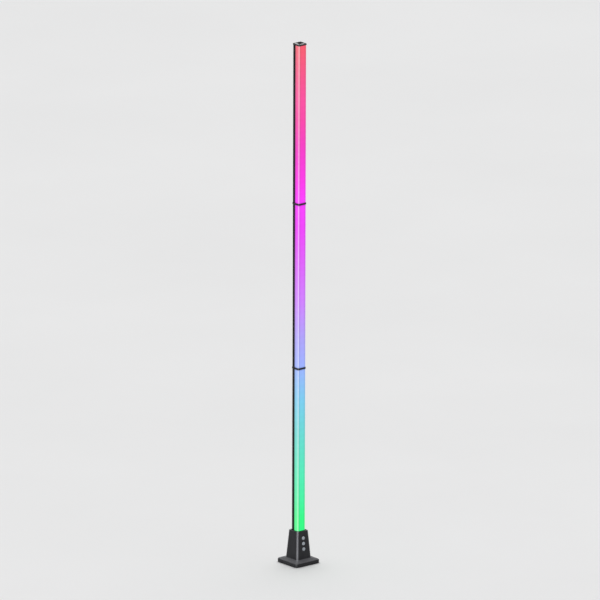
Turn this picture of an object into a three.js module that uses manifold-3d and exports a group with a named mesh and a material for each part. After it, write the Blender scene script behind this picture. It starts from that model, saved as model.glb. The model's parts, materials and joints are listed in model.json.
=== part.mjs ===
// Free-standing colour light tube: a weighted square base with three push buttons carries three
// square tube sections that plug into each other end to end.
//
// Millimetres, +Z up, the button side of the base faces -Y.
// Origin: the centre of the square footprint, on the surface that the lamp stands on.

import * as THREE from 'three';
import { mergeVertices } from 'three/addons/utils/BufferGeometryUtils.js';
import Module from 'manifold-3d';

const wasm = await Module();
wasm.setup();

// ---------------------------------------------------------------- driving dimensions

const OVERALL_HEIGHT = 1400;
const GAP = 0.3; // clearance between separate pieces
const CUT = 1; // how far a cutting body runs past the face that it opens

// Tube section
const TUBE_HALF = 12.5;
const FRONT_CORNER = 3; // radius of the diffuser's front corners
const BACK_CORNER = 1.8; // radius of the channel's back corners
const CHANNEL_WALL = 1.4;
const DIFFUSER_WALL = 1.5;
const SEAM_Y = 2.9; // where the channel's sides end and the diffuser starts
const CLIP_WALL = 1.2; // the diffuser's clip legs, inside the channel
const CLIP_END_Y = 7.4;

// Heights of the trim
const BASE_HEIGHT = 88.2;
const LOWER_RING_Z = 526.6;
const UPPER_RING_Z = 969.8;
const RING_HEIGHT = 4.5;
const RING_EDGE = 0.6; // chamfer on the rings
const CAP_HEIGHT = 5;
const CAP_EDGE = 0.4; // chamfer under the cap
const CAP_TOP_EDGE = 0.8;
const CAP_SKIN = 4; // solid thickness over the wireway
const CAP_BOSS_HALF = 10; // the raised square on top of the cap
const CAP_BOSS_HEIGHT = 1.3;
const CAP_BOSS_CORNER = 0.25; // corner radius as a share of its half width
const TRIM_OVERHANG = 1.15; // rings and cap stand out past the tube by this

// Base shell
const SHELL_BOTTOM_Z = 0.8;
const SHELL_EDGE = 0.4; // chamfer round the underside of the foot
const FOOT_HALF = 40.5; // half of the square footprint
const SHOULDER_Z = 10.5;
const SHOULDER_RADIUS = 3;
const POST_FOOT_HALF = 23.9;
const POST_FOOT_Z = 14.6;
const POST_TOP_HALF = 18.4;
const POST_FILLET_RADIUS = 2.2; // where the post meets the foot
const POST_FILLET_RISE = 1.7; // of the fillet's centre above the foot of the post
const RIM_RADIUS = 1.4;
const CORNER_RATIO = 0.21; // corner radius as a share of the half width, at every height
const SHELL_WALL = 2.2;
const FLANGE_WALL = 2.5;
const MOUTH_DEPTH = 8; // the tube stands this deep in the top of the base
const MOUTH_FLOOR_THICKNESS = 2.5;

// Spigots and sockets
const BASE_SPIGOT_HALF = 8.5;
const BASE_SPIGOT_LENGTH = 47.7;
const JOINT_SPIGOT_HALF = 7.7;
const JOINT_SPIGOT_LENGTH = 36;
const WIREWAY_HALF = 6;
const PLUG_HALF = 9.3; // the part of a fitting that sits inside a tube section
const PLUG_BACK_Y = TUBE_HALF - CHANNEL_WALL - GAP;
const PLUG_LENGTH = 30;
const PLUG_FLANGE = 2;
const SOCKET_WALL = 1.6;
const PIN_LENGTH = 1.3;
const PAD_HEIGHT = 0.3;

// Buttons on the sloping front face of the base
const BUTTONS = [
  { name: 'power', z: 70 },
  { name: 'colour', z: 55.4 },
  { name: 'mode', z: 40.8 },
];
const BUTTON_RADIUS = 4.45;
const BUTTON_PROUD = 0.9;
const BUTTON_TRAVEL = 0.5;
const BUTTON_FLANGE_RADIUS = BUTTON_RADIUS + 0.95;
const BUTTON_STEM_RADIUS = 1.6;
const BUTTON_EDGE = 0.5; // rounding of the cap's rim
const DISH_RADIUS = 3.8; // the shallow dish in the cap
const DISH_DEPTH = 0.25;

// Light strips
const LED_PITCH = 50 / 3;
const LED_HALF = 2.5;
const LED_HEIGHT = 1.4;
const TAPE_HALF_WIDTH = 4.5;
const TAPE_THICKNESS = 0.8;
const STRIP_SETBACK = 2; // between a strip and the fittings at its ends

// ---------------------------------------------------------------- colours and finishes

const FINISH = {
  baseShell: { color: 0x2c2c2f, roughness: 0.48, metalness: 0 },
  button: { color: 0xb4b8bb, roughness: 0.5, metalness: 0 },
  channel: { color: 0x0d0d10, roughness: 0.42, metalness: 0.9 },
  trim: { color: 0x101012, roughness: 0.25, metalness: 0 },
  moulding: { color: 0x1d1d20, roughness: 0.6, metalness: 0 },
  rubber: { color: 0x151516, roughness: 0.9, metalness: 0 },
  steel: { color: 0x8c8f92, roughness: 0.4, metalness: 1 },
  screw: { color: 0x303236, roughness: 0.35, metalness: 1 },
  board: { color: 0x14462c, roughness: 0.45, metalness: 0 },
  contact: { color: 0xc29a45, roughness: 0.3, metalness: 1 },
  chip: { color: 0x17171a, roughness: 0.5, metalness: 0 },
  lead: { color: 0xb01f1f, roughness: 0.55, metalness: 0 },
  strip: { color: 0xe9e9e2, roughness: 0.5, metalness: 0 },
};

const DIFFUSER_COLOUR = { lower: 0x55e8b6, middle: 0x9aa8fb, upper: 0xf04cc8 };

// ---------------------------------------------------------------- solids

function toSolid(geometry) {
  const bare = geometry.clone();
  bare.deleteAttribute('normal');
  bare.deleteAttribute('uv');
  const merged = mergeVertices(bare);
  const vertProperties = new Float32Array(merged.attributes.position.array);
  const triVerts = new Uint32Array(merged.index.array);
  return new wasm.Manifold(new wasm.Mesh({ numProp: 3, vertProperties, triVerts }));
}

function toGeometry(solid) {
  const mesh = solid.getMesh();
  const geometry = new THREE.BufferGeometry();
  geometry.setAttribute('position', new THREE.BufferAttribute(mesh.vertProperties, 3));
  geometry.setIndex(new THREE.BufferAttribute(mesh.triVerts, 1));
  geometry.computeVertexNormals();
  return geometry;
}

function join(...geometries) {
  const [first, ...others] = geometries.map(toSolid);
  return toGeometry(others.reduce((whole, other) => whole.add(other), first));
}

function cut(geometry, ...tools) {
  const solid = tools.map(toSolid).reduce((rest, tool) => rest.subtract(tool), toSolid(geometry));
  return toGeometry(solid);
}

function block(x0, x1, y0, y1, z0, z1) {
  const box = new THREE.BoxGeometry(x1 - x0, y1 - y0, z1 - z0);
  return box.translate((x0 + x1) / 2, (y0 + y1) / 2, (z0 + z1) / 2);
}

function squareBlock(half, z0, z1) {
  return block(-half, half, -half, half, z0, z1);
}

function uprightCylinder(radius, x, y, z0, z1, sides = 16) {
  const cylinder = new THREE.CylinderGeometry(radius, radius, z1 - z0, sides);
  return cylinder.rotateX(Math.PI / 2).translate(x, y, (z0 + z1) / 2);
}

// A cylinder along Y, from y0 to y1.
function levelCylinder(radius, x, z, y0, y1, sides = 16) {
  const cylinder = new THREE.CylinderGeometry(radius, radius, y1 - y0, sides);
  return cylinder.translate(x, (y0 + y1) / 2, z);
}

// A rectangle about the axis, with one corner radius at the front (-Y) and one at the back.
function roundedOutline(halfWidth, halfDepth, frontRadius, backRadius) {
  const shape = new THREE.Shape();
  const frontX = halfWidth - frontRadius;
  const frontY = -halfDepth + frontRadius;
  const backX = halfWidth - backRadius;
  const backY = halfDepth - backRadius;
  shape.absarc(frontX, frontY, frontRadius, -Math.PI / 2, 0, false);
  shape.absarc(backX, backY, backRadius, 0, Math.PI / 2, false);
  shape.absarc(-backX, backY, backRadius, Math.PI / 2, Math.PI, false);
  shape.absarc(-frontX, frontY, frontRadius, Math.PI, 1.5 * Math.PI, false);
  shape.closePath();
  return shape;
}

// The tube's own outline, grown outwards by an offset.
function tubeOutline(offset) {
  const half = TUBE_HALF + offset;
  return roundedOutline(half, half, FRONT_CORNER + offset, BACK_CORNER + offset);
}

function prism(shape, z0, z1, curveSegments = 3) {
  const options = { depth: z1 - z0, bevelEnabled: false, curveSegments };
  return new THREE.ExtrudeGeometry(shape, options).translate(0, 0, z0);
}

// Stations [z, half width] round part of a circle, which starts and ends at angles in degrees.
function roundStations(z, half, radius, from, to, steps) {
  return Array.from({ length: steps + 1 }, (_, i) => {
    const angle = THREE.MathUtils.degToRad(from + ((to - from) * i) / steps);
    return [z + radius * Math.sin(angle), half + radius * Math.cos(angle)];
  });
}

// A solid through stations [z, scale], with the outline scaled about the axis at each of them.
function loft(shape, stations, curveSegments = 3) {
  const steps = stations.length - 1;
  const options = { depth: steps, steps, bevelEnabled: false, curveSegments };
  const geometry = new THREE.ExtrudeGeometry(shape, options);
  const position = geometry.attributes.position;
  for (let i = 0; i < position.count; i += 1) {
    const [z, scale] = stations[Math.round(position.getZ(i))];
    position.setXYZ(i, position.getX(i) * scale, position.getY(i) * scale, z);
  }
  return geometry;
}

// A turned solid about Y, from [radius, height] points that start and end on the axis.
function turned(profile, sides = 12) {
  return new THREE.LatheGeometry(profile.map(([r, h]) => new THREE.Vector2(r, h)), sides);
}

const LEAD_RADIUS = 0.9;

function lead(points, steps) {
  const section = new THREE.Shape().absarc(0, 0, LEAD_RADIUS, 0, 2 * Math.PI, false);
  const path = new THREE.CatmullRomCurve3(points.map((p) => new THREE.Vector3(...p)));
  return new THREE.ExtrudeGeometry(section, {
    extrudePath: path,
    steps,
    bevelEnabled: false,
    curveSegments: 4,
  });
}

function material(finish) {
  return new THREE.MeshStandardMaterial(finish);
}

function named(name, geometry, finish) {
  const mesh = new THREE.Mesh(geometry, material(finish));
  mesh.name = name;
  return mesh;
}

// ---------------------------------------------------------------- the sloping front face

const POST_SLOPE = (POST_FOOT_HALF - POST_TOP_HALF) / (BASE_HEIGHT - POST_FOOT_Z);
const FACE_TILT = Math.atan(POST_SLOPE);
const PANEL_Z = 55;

function postHalf(z) {
  return POST_FOOT_HALF - (z - POST_FOOT_Z) * POST_SLOPE;
}

// In the panel's own frame Y is the depth behind the face, and Z runs up the face.
function panelHeight(z) {
  return (z - PANEL_Z) / Math.cos(FACE_TILT);
}

const frontPanel = new THREE.Group();
frontPanel.position.set(0, -postHalf(PANEL_Z), PANEL_Z);
frontPanel.rotation.x = -FACE_TILT;
frontPanel.updateMatrix();

function onPanel(geometry) {
  return geometry.applyMatrix4(frontPanel.matrix);
}

// Depths behind the face of what stands on the board
const BUTTON_FLANGE = [SHELL_WALL + GAP, 3.2];
const BUTTON_STEM_END = 3.7;
const PLUNGER = [BUTTON_STEM_END + GAP, 5.5];
const SWITCH = [4.2, 6.6];
const SWITCH_WELL_END = PLUNGER[1] + BUTTON_TRAVEL + GAP;
const BOARD = [SWITCH[1] + GAP, 7.9];
const BOARD_BACK = BOARD[1] + GAP;
const BOARD_HALF_WIDTH = 13;
const BOARD_HEIGHTS = [panelHeight(29), panelHeight(73.6)];
const BOARD_SCREW_X = 9;
const BOARD_SCREW_HEIGHT = panelHeight(38);
const BOARD_SCREW_RADIUS = 0.9;
const BOARD_SCREW_POINT = 3.6; // depth of its point behind the face
const BOARD_BOSS_RADIUS = 2.2;

// ---------------------------------------------------------------- base shell

const INLET_Z = 24;
const INLET_HALF_WIDTH = 4.45;
const INLET_HALF_HEIGHT = 1.6;
const MOUTH_FLOOR_Z = BASE_HEIGHT - MOUTH_DEPTH;
const SHELL_ROOF_Z = MOUTH_FLOOR_Z - MOUTH_FLOOR_THICKNESS;
const GASKET_Z = [BASE_HEIGHT - 2.4, BASE_HEIGHT + 0.6];
const GASKET_OFFSET = [0.5, 2];
const COVER_Z = [1.1, 3.3];
const COVER_SCREW_DISTANCE = 33;
const COVER_SCREW_RADIUS = 1.2;
const COVER_SCREW_TOP_Z = 8.2;
const COVER_BOSS_RADIUS = 3.2;
const COVER_BOSS_TOP_Z = SHOULDER_Z - 0.8;
const SOCKET_SCREW_X = 11.7;
const SOCKET_SCREW_RADIUS = 0.8;
const SOCKET_SCREW_HOLE_TOP_Z = MOUTH_FLOOR_Z - 0.6;
const INSIDE_SHOULDER_Z = 8.2; // the hollow narrows from here up to the neck
const NECK_Z = 11.4;
const NECK_HALF = POST_FOOT_HALF + 1.4;

const coverScrewPlaces = [0, 1, 2, 3].map((turn) => ({
  x: Math.round(Math.cos((turn * Math.PI) / 2)) * COVER_SCREW_DISTANCE,
  y: Math.round(Math.sin((turn * Math.PI) / 2)) * COVER_SCREW_DISTANCE,
}));

function unitSquare() {
  return roundedOutline(1, 1, CORNER_RATIO, CORNER_RATIO);
}

function shellOutside() {
  const shoulderHalf = FOOT_HALF - SHOULDER_RADIUS;
  const filletZ = POST_FOOT_Z + POST_FILLET_RISE;
  const filletHalf = POST_FOOT_HALF + POST_FILLET_RADIUS;
  const rimZ = BASE_HEIGHT - RIM_RADIUS;
  return loft(unitSquare(), [
    [SHELL_BOTTOM_Z, FOOT_HALF - SHELL_EDGE],
    [SHELL_BOTTOM_Z + SHELL_EDGE, FOOT_HALF],
    ...roundStations(SHOULDER_Z - SHOULDER_RADIUS, shoulderHalf, SHOULDER_RADIUS, 0, 82, 3),
    ...roundStations(filletZ, filletHalf, POST_FILLET_RADIUS, 250, 186, 2),
    ...roundStations(rimZ, POST_TOP_HALF - RIM_RADIUS, RIM_RADIUS, 4, 90, 3),
  ]);
}

function shellInside() {
  return loft(unitSquare(), [
    [SHELL_BOTTOM_Z - CUT, FOOT_HALF - FLANGE_WALL],
    [SHOULDER_Z - SHOULDER_RADIUS - 1, FOOT_HALF - FLANGE_WALL],
    [INSIDE_SHOULDER_Z, FOOT_HALF - SHOULDER_RADIUS - FLANGE_WALL],
    [NECK_Z, NECK_HALF],
    [POST_FOOT_Z, postHalf(POST_FOOT_Z) - SHELL_WALL],
    [SHELL_ROOF_Z, postHalf(SHELL_ROOF_Z) - SHELL_WALL],
  ]);
}

function shellBosses() {
  const underCover = coverScrewPlaces.map(({ x, y }) =>
    uprightCylinder(COVER_BOSS_RADIUS, x, y, COVER_Z[1] + GAP, COVER_BOSS_TOP_Z),
  );
  const underBoard = [-BOARD_SCREW_X, BOARD_SCREW_X].map((x) =>
    onPanel(levelCylinder(BOARD_BOSS_RADIUS, x, BOARD_SCREW_HEIGHT, SHELL_WALL / 2, BOARD[0] - GAP)),
  );
  return [...underCover, ...underBoard];
}

function shellHoles() {
  const coverScrews = coverScrewPlaces.map(({ x, y }) =>
    uprightCylinder(COVER_SCREW_RADIUS + GAP, x, y, COVER_Z[1], COVER_SCREW_TOP_Z + GAP),
  );
  const boardHoleStart = BOARD_SCREW_POINT - GAP;
  const boardHoleRadius = BOARD_SCREW_RADIUS + GAP;
  const boardScrews = [-BOARD_SCREW_X, BOARD_SCREW_X].map((x) =>
    onPanel(levelCylinder(boardHoleRadius, x, BOARD_SCREW_HEIGHT, boardHoleStart, BOARD[0])),
  );
  const socketScrews = [-SOCKET_SCREW_X, SOCKET_SCREW_X].map((x) =>
    uprightCylinder(SOCKET_SCREW_RADIUS + GAP, x, 0, SHELL_ROOF_Z - CUT, SOCKET_SCREW_HOLE_TOP_Z),
  );
  const buttons = BUTTONS.map(({ z }) =>
    onPanel(levelCylinder(BUTTON_RADIUS + GAP, 0, panelHeight(z), -CUT, SHELL_WALL + CUT, 24)),
  );
  return [...coverScrews, ...boardScrews, ...socketScrews, ...buttons];
}

// A stadium-shaped body along Y, for the power inlet and its opening.
function inletPrism(grow, y0, y1) {
  const halfHeight = INLET_HALF_HEIGHT + grow;
  const halfWidth = INLET_HALF_WIDTH + grow;
  const shape = new THREE.Shape();
  shape.absarc(halfWidth - halfHeight, 0, halfHeight, -Math.PI / 2, Math.PI / 2, false);
  shape.absarc(halfHeight - halfWidth, 0, halfHeight, Math.PI / 2, 1.5 * Math.PI, false);
  shape.closePath();
  return prism(shape, y0, y1, 5).rotateX(-Math.PI / 2).translate(0, 0, INLET_Z);
}

function baseShell() {
  const hollow = cut(shellOutside(), shellInside());
  const solid = join(hollow, ...shellBosses());
  return cut(
    solid,
    prism(tubeOutline(GAP), MOUTH_FLOOR_Z, BASE_HEIGHT + CUT),
    prism(tubeOutline(GASKET_OFFSET[1] + GAP), GASKET_Z[0] - GAP, BASE_HEIGHT + CUT),
    squareBlock(BASE_SPIGOT_HALF + GAP, SHELL_ROOF_Z - CUT, MOUTH_FLOOR_Z + CUT),
    block(
      -INLET_HALF_WIDTH - GAP,
      INLET_HALF_WIDTH + GAP,
      postHalf(INLET_Z) - SHELL_WALL - CUT,
      postHalf(INLET_Z) + CUT,
      INLET_Z - INLET_HALF_HEIGHT - GAP,
      INLET_Z + INLET_HALF_HEIGHT + GAP,
    ),
    ...shellHoles(),
  );
}

function socketGasket() {
  const [inner, outer] = GASKET_OFFSET;
  const ring = prism(tubeOutline(outer), GASKET_Z[0], GASKET_Z[1]);
  return cut(ring, prism(tubeOutline(inner), GASKET_Z[0] - CUT, GASKET_Z[1] + CUT));
}

// ---------------------------------------------------------------- socket in the base

const SLEEVE_FLANGE_HALF = 13;
const SLEEVE_TOP_Z = SHELL_ROOF_Z - GAP;
const SLEEVE_FLANGE_Z = SLEEVE_TOP_Z - 1.8;
const SLEEVE_FLOOR_THICKNESS = 4;
const BASE_SPIGOT_END_Z = MOUTH_FLOOR_Z + GAP - BASE_SPIGOT_LENGTH;
const SLEEVE_FLOOR_Z = BASE_SPIGOT_END_Z - PAD_HEIGHT - GAP - PIN_LENGTH;
const SLEEVE_BOTTOM_Z = SLEEVE_FLOOR_Z - SLEEVE_FLOOR_THICKNESS;

function tubeSocket() {
  const sleeve = squareBlock(BASE_SPIGOT_HALF + GAP + SOCKET_WALL, SLEEVE_BOTTOM_Z, SLEEVE_TOP_Z);
  const flange = squareBlock(SLEEVE_FLANGE_HALF, SLEEVE_FLANGE_Z, SLEEVE_TOP_Z);
  const screwHoles = [-SOCKET_SCREW_X, SOCKET_SCREW_X].map((x) =>
    uprightCylinder(SOCKET_SCREW_RADIUS + GAP, x, 0, SLEEVE_FLANGE_Z - CUT, SLEEVE_TOP_Z + CUT),
  );
  return cut(
    join(sleeve, flange),
    squareBlock(BASE_SPIGOT_HALF + GAP, SLEEVE_FLOOR_Z, SLEEVE_TOP_Z + CUT),
    squareBlock(WIREWAY_HALF + GAP, SLEEVE_BOTTOM_Z - CUT, SLEEVE_FLOOR_Z + CUT),
    ...screwHoles,
  );
}

const CONTACT_SPREAD = 3; // of the four contacts, either way from the axis

// A block of four contacts, which reach up past its top or down past its bottom.
function contactBlock(half, bottomZ, topZ, contactRadius, reachUp, reachDown) {
  const contacts = [];
  for (const x of [-CONTACT_SPREAD, CONTACT_SPREAD]) {
    for (const y of [-CONTACT_SPREAD, CONTACT_SPREAD]) {
      contacts.push(uprightCylinder(contactRadius, x, y, bottomZ - reachDown, topZ + reachUp, 8));
    }
  }
  return join(squareBlock(half, bottomZ, topZ), ...contacts);
}

const PIN_RADIUS = 0.7;
const PAD_RADIUS = 1.4;
const CONTACT_HALF = WIREWAY_HALF - GAP;
const PAD_BLOCK_LENGTH = 8;

function socketContacts() {
  const top = SLEEVE_FLOOR_Z;
  return contactBlock(WIREWAY_HALF, SLEEVE_BOTTOM_Z, top, PIN_RADIUS, PIN_LENGTH, 0);
}

// ---------------------------------------------------------------- screws

const COVER_SCREW = { headRadius: 2.5, headHeight: 0.9, shankRadius: COVER_SCREW_RADIUS, length: 7 };
const SOCKET_SCREW = {
  headRadius: 1.3,
  headHeight: 0.8,
  shankRadius: SOCKET_SCREW_RADIUS,
  length: 4.6,
};

// A screw about +Z: its head starts at 0 and its point is at its length.
function screw({ headRadius, headHeight, shankRadius, length }) {
  const profile = [
    [0, 0],
    [headRadius, 0],
    [headRadius, headHeight],
    [shankRadius, headHeight],
    [shankRadius, length - shankRadius],
    [0, length],
  ];
  return turned(profile).rotateX(Math.PI / 2);
}

// A countersunk screw about -Y: the flat of its head is at y, and it points to the tube's axis.
const CHANNEL_SCREW = { headRadius: 2.2, headHeight: 1, shankRadius: 0.9, length: 4 };
const HEAD_EDGE = 0.2; // the straight rim above a countersunk cone

function channelScrew(z) {
  const { headRadius, headHeight, shankRadius, length } = CHANNEL_SCREW;
  const profile = [
    [0, -length],
    [shankRadius, shankRadius - length],
    [shankRadius, -headHeight - HEAD_EDGE],
    [headRadius, -HEAD_EDGE],
    [headRadius, 0],
    [0, 0],
  ];
  return turned(profile).translate(0, TUBE_HALF - HEAD_EDGE / 4, z);
}

function channelScrewHole(z) {
  const { headRadius, headHeight, shankRadius } = CHANNEL_SCREW;
  const outside = TUBE_HALF + HEAD_EDGE / 2;
  const profile = [
    [0, -CHANNEL_WALL - CUT],
    [shankRadius + GAP, -CHANNEL_WALL - CUT],
    [shankRadius + GAP, -headHeight - 2 * HEAD_EDGE],
    [headRadius + GAP, -2 * HEAD_EDGE],
    [headRadius + GAP, 0],
    [0, 0],
  ];
  return turned(profile).translate(0, outside, z);
}

function plugScrewHole(z) {
  const end = TUBE_HALF - CHANNEL_SCREW.length - GAP;
  return levelCylinder(CHANNEL_SCREW.shankRadius + GAP, 0, z, end, PLUG_BACK_Y + CUT, 16);
}

// ---------------------------------------------------------------- inside and under the base

const WEIGHT_Z = [COVER_Z[1] + GAP, 8.2];
const WEIGHT_HALF = 34.5;
const WEIGHT_CORNER = 7;
const WEIGHT_STEP_HALF = 19.3;
const WEIGHT_TOP_Z = 17;
const FOOT_DISTANCE = 29.5;
const FOOT_RADIUS = 6.5;
const FOOT_TOP_Z = 1.8;

const footPlaces = [
  { name: 'foot_front_left', x: -FOOT_DISTANCE, y: -FOOT_DISTANCE },
  { name: 'foot_front_right', x: FOOT_DISTANCE, y: -FOOT_DISTANCE },
  { name: 'foot_rear_left', x: -FOOT_DISTANCE, y: FOOT_DISTANCE },
  { name: 'foot_rear_right', x: FOOT_DISTANCE, y: FOOT_DISTANCE },
];

function weightPlate() {
  const outline = roundedOutline(WEIGHT_HALF, WEIGHT_HALF, WEIGHT_CORNER, WEIGHT_CORNER);
  const plate = prism(outline, WEIGHT_Z[0], WEIGHT_Z[1]);
  const step = squareBlock(WEIGHT_STEP_HALF, WEIGHT_Z[1] - CUT, WEIGHT_TOP_Z);
  const notches = coverScrewPlaces.map(({ x, y }) =>
    uprightCylinder(COVER_BOSS_RADIUS + GAP, x, y, WEIGHT_Z[0] - CUT, WEIGHT_Z[1] + CUT),
  );
  return cut(join(plate, step), ...notches);
}

function bottomCover() {
  const half = FOOT_HALF - FLANGE_WALL - GAP;
  const radius = half * CORNER_RATIO;
  const plate = prism(roundedOutline(half, half, radius, radius), COVER_Z[0], COVER_Z[1]);
  const footWells = footPlaces.map(({ x, y }) =>
    uprightCylinder(FOOT_RADIUS + GAP, x, y, COVER_Z[0] - CUT, FOOT_TOP_Z + GAP),
  );
  const screwHoles = coverScrewPlaces.map(({ x, y }) =>
    uprightCylinder(COVER_SCREW_RADIUS + GAP, x, y, COVER_Z[0] - CUT, COVER_Z[1] + CUT),
  );
  const wellRadius = COVER_SCREW.headRadius + GAP;
  const wellTop = COVER_SCREW_TOP_Z - COVER_SCREW.length + COVER_SCREW.headHeight + GAP;
  const headWells = coverScrewPlaces.map(({ x, y }) =>
    uprightCylinder(wellRadius, x, y, COVER_Z[0] - CUT, wellTop),
  );
  return cut(plate, ...footWells, ...screwHoles, ...headWells);
}

function foot(x, y) {
  const edge = 0.5;
  const profile = [
    [0, 0],
    [FOOT_RADIUS - edge, 0],
    [FOOT_RADIUS, edge],
    [FOOT_RADIUS, FOOT_TOP_Z],
    [0, FOOT_TOP_Z],
  ];
  return turned(profile, 20).rotateX(Math.PI / 2).translate(x, y, 0);
}

const INLET_REAR_Y = postHalf(INLET_Z) - 0.5; // the mouth of the inlet, just inside the rear face
const INLET_FRONT_Y = INLET_REAR_Y - 7.4;
const INLET_WALL = 0.45;
const INLET_FLOOR = 1.2;
const TONGUE = { halfWidth: 3.3, halfHeight: 0.35, setback: 1.2 };

function powerInlet() {
  const hollow = inletPrism(-INLET_WALL, INLET_FRONT_Y + INLET_FLOOR, INLET_REAR_Y + CUT);
  const shell = cut(inletPrism(0, INLET_FRONT_Y, INLET_REAR_Y), hollow);
  const { halfWidth, halfHeight, setback } = TONGUE;
  const tongue = block(
    -halfWidth,
    halfWidth,
    INLET_FRONT_Y + INLET_FLOOR / 2,
    INLET_REAR_Y - setback,
    INLET_Z - halfHeight,
    INLET_Z + halfHeight,
  );
  return join(shell, tongue);
}

function inletLead() {
  const rear = INLET_FRONT_Y - 2 * GAP - 0.1;
  return lead(
    [
      [2, rear, INLET_Z],
      [2.2, rear - 1.5, INLET_Z - 0.2],
      [4, rear - 4, INLET_Z - 1.5],
      [7, 2, 21],
      [7.5, -7, 21.5],
      [7, -12.6, 24.5],
      [7, -13.2, 28.4],
    ],
    14,
  );
}

function socketLead() {
  return lead(
    [
      [-2, 0, SLEEVE_BOTTOM_Z - 2 * GAP],
      [-2.1, -0.3, SLEEVE_BOTTOM_Z - 2],
      [-5, -6, 21.5],
      [-7, -12, 24.2],
      [-7, -13.2, 28.4],
    ],
    12,
  );
}

// ---------------------------------------------------------------- pieces on the front panel

function controlBoard() {
  const [low, high] = BOARD_HEIGHTS;
  const plate = block(-BOARD_HALF_WIDTH, BOARD_HALF_WIDTH, BOARD[0], BOARD[1], low, high);
  const holeRadius = BOARD_SCREW_RADIUS + GAP;
  const screwHoles = [-BOARD_SCREW_X, BOARD_SCREW_X].map((x) =>
    levelCylinder(holeRadius, x, BOARD_SCREW_HEIGHT, BOARD[0] - CUT, BOARD[1] + CUT),
  );
  return cut(plate, ...screwHoles);
}

// Screws on the back of the board point towards the face.
function boardScrew() {
  const headRadius = 2 * BOARD_SCREW_RADIUS;
  const headEnd = BOARD_BACK + BOARD_SCREW_RADIUS;
  const profile = [
    [0, BOARD_SCREW_POINT],
    [BOARD_SCREW_RADIUS, BOARD_SCREW_POINT + BOARD_SCREW_RADIUS],
    [BOARD_SCREW_RADIUS, BOARD_BACK],
    [headRadius, BOARD_BACK],
    [headRadius, headEnd],
    [0, headEnd],
  ];
  return turned(profile);
}

const CHIP = { half: 3.5, thickness: 1, height: panelHeight(46) };
const CONNECTOR = { halfWidth: 10, depth: 2.2, tall: 4, rise: 0.5 };

function controllerChip() {
  const { half, thickness, height } = CHIP;
  return block(-half, half, BOARD_BACK, BOARD_BACK + thickness, height - half, height + half);
}

// The connector stands on the back of the board, just above its lower edge.
function boardConnector() {
  const { halfWidth, depth, tall, rise } = CONNECTOR;
  const low = BOARD_HEIGHTS[0] + rise;
  return block(-halfWidth, halfWidth, BOARD_BACK, BOARD_BACK + depth, low, low + tall);
}

const SWITCH_HALF = 3;
const PLUNGER_RADIUS = 1.5;

function tactileSwitch() {
  const housing = block(-SWITCH_HALF, SWITCH_HALF, ...SWITCH, -SWITCH_HALF, SWITCH_HALF);
  return cut(housing, levelCylinder(PLUNGER_RADIUS + GAP, 0, 0, SWITCH[0] - CUT, SWITCH_WELL_END));
}

function switchPlunger() {
  return levelCylinder(PLUNGER_RADIUS, 0, 0, ...PLUNGER);
}

// The cap is slightly dished, and a flange behind the wall keeps it in.
function buttonCap() {
  const profile = [
    [0, -BUTTON_PROUD + DISH_DEPTH],
    [0.6 * DISH_RADIUS, -BUTTON_PROUD + DISH_DEPTH / 2],
    [DISH_RADIUS, -BUTTON_PROUD],
    [BUTTON_RADIUS - 0.3 * BUTTON_EDGE, -BUTTON_PROUD + 0.4 * BUTTON_EDGE],
    [BUTTON_RADIUS, -BUTTON_PROUD + BUTTON_EDGE],
    [BUTTON_RADIUS, BUTTON_FLANGE[0]],
    [BUTTON_FLANGE_RADIUS, BUTTON_FLANGE[0]],
    [BUTTON_FLANGE_RADIUS, BUTTON_FLANGE[1]],
    [BUTTON_STEM_RADIUS, BUTTON_FLANGE[1]],
    [BUTTON_STEM_RADIUS, BUTTON_STEM_END],
    [0, BUTTON_STEM_END],
  ];
  return turned(profile, 24);
}

// ---------------------------------------------------------------- tube sections

const SOCKET_RECESS_DEPTH = JOINT_SPIGOT_LENGTH + PAD_HEIGHT + PIN_LENGTH;
const SOCKET_PLUG_LENGTH = SOCKET_RECESS_DEPTH + 5;
const SCREW_RISE = 16; // of each fitting's screw above or below the end of its section

const sections = [
  {
    name: 'lower',
    bottom: MOUTH_FLOOR_Z + GAP + PLUG_FLANGE + GAP,
    top: LOWER_RING_Z - RING_HEIGHT / 2 - GAP,
    bottomFitting: PLUG_LENGTH,
  },
  {
    name: 'middle',
    bottom: LOWER_RING_Z + RING_HEIGHT / 2 + GAP,
    top: UPPER_RING_Z - RING_HEIGHT / 2 - GAP,
    bottomFitting: SOCKET_PLUG_LENGTH,
  },
  {
    name: 'upper',
    bottom: UPPER_RING_Z + RING_HEIGHT / 2 + GAP,
    top: OVERALL_HEIGHT - CAP_HEIGHT - GAP,
    bottomFitting: SOCKET_PLUG_LENGTH,
  },
];

function channelOutline() {
  const outer = TUBE_HALF;
  const inner = TUBE_HALF - CHANNEL_WALL;
  const arc = outer - BACK_CORNER;
  const shape = new THREE.Shape();
  shape.moveTo(outer, SEAM_Y);
  shape.lineTo(outer, arc);
  shape.absarc(arc, arc, BACK_CORNER, 0, Math.PI / 2, false);
  shape.lineTo(-arc, outer);
  shape.absarc(-arc, arc, BACK_CORNER, Math.PI / 2, Math.PI, false);
  shape.lineTo(-outer, SEAM_Y);
  shape.lineTo(-inner, SEAM_Y);
  shape.lineTo(-inner, inner);
  shape.lineTo(inner, inner);
  shape.lineTo(inner, SEAM_Y);
  shape.closePath();
  return shape;
}

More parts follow.
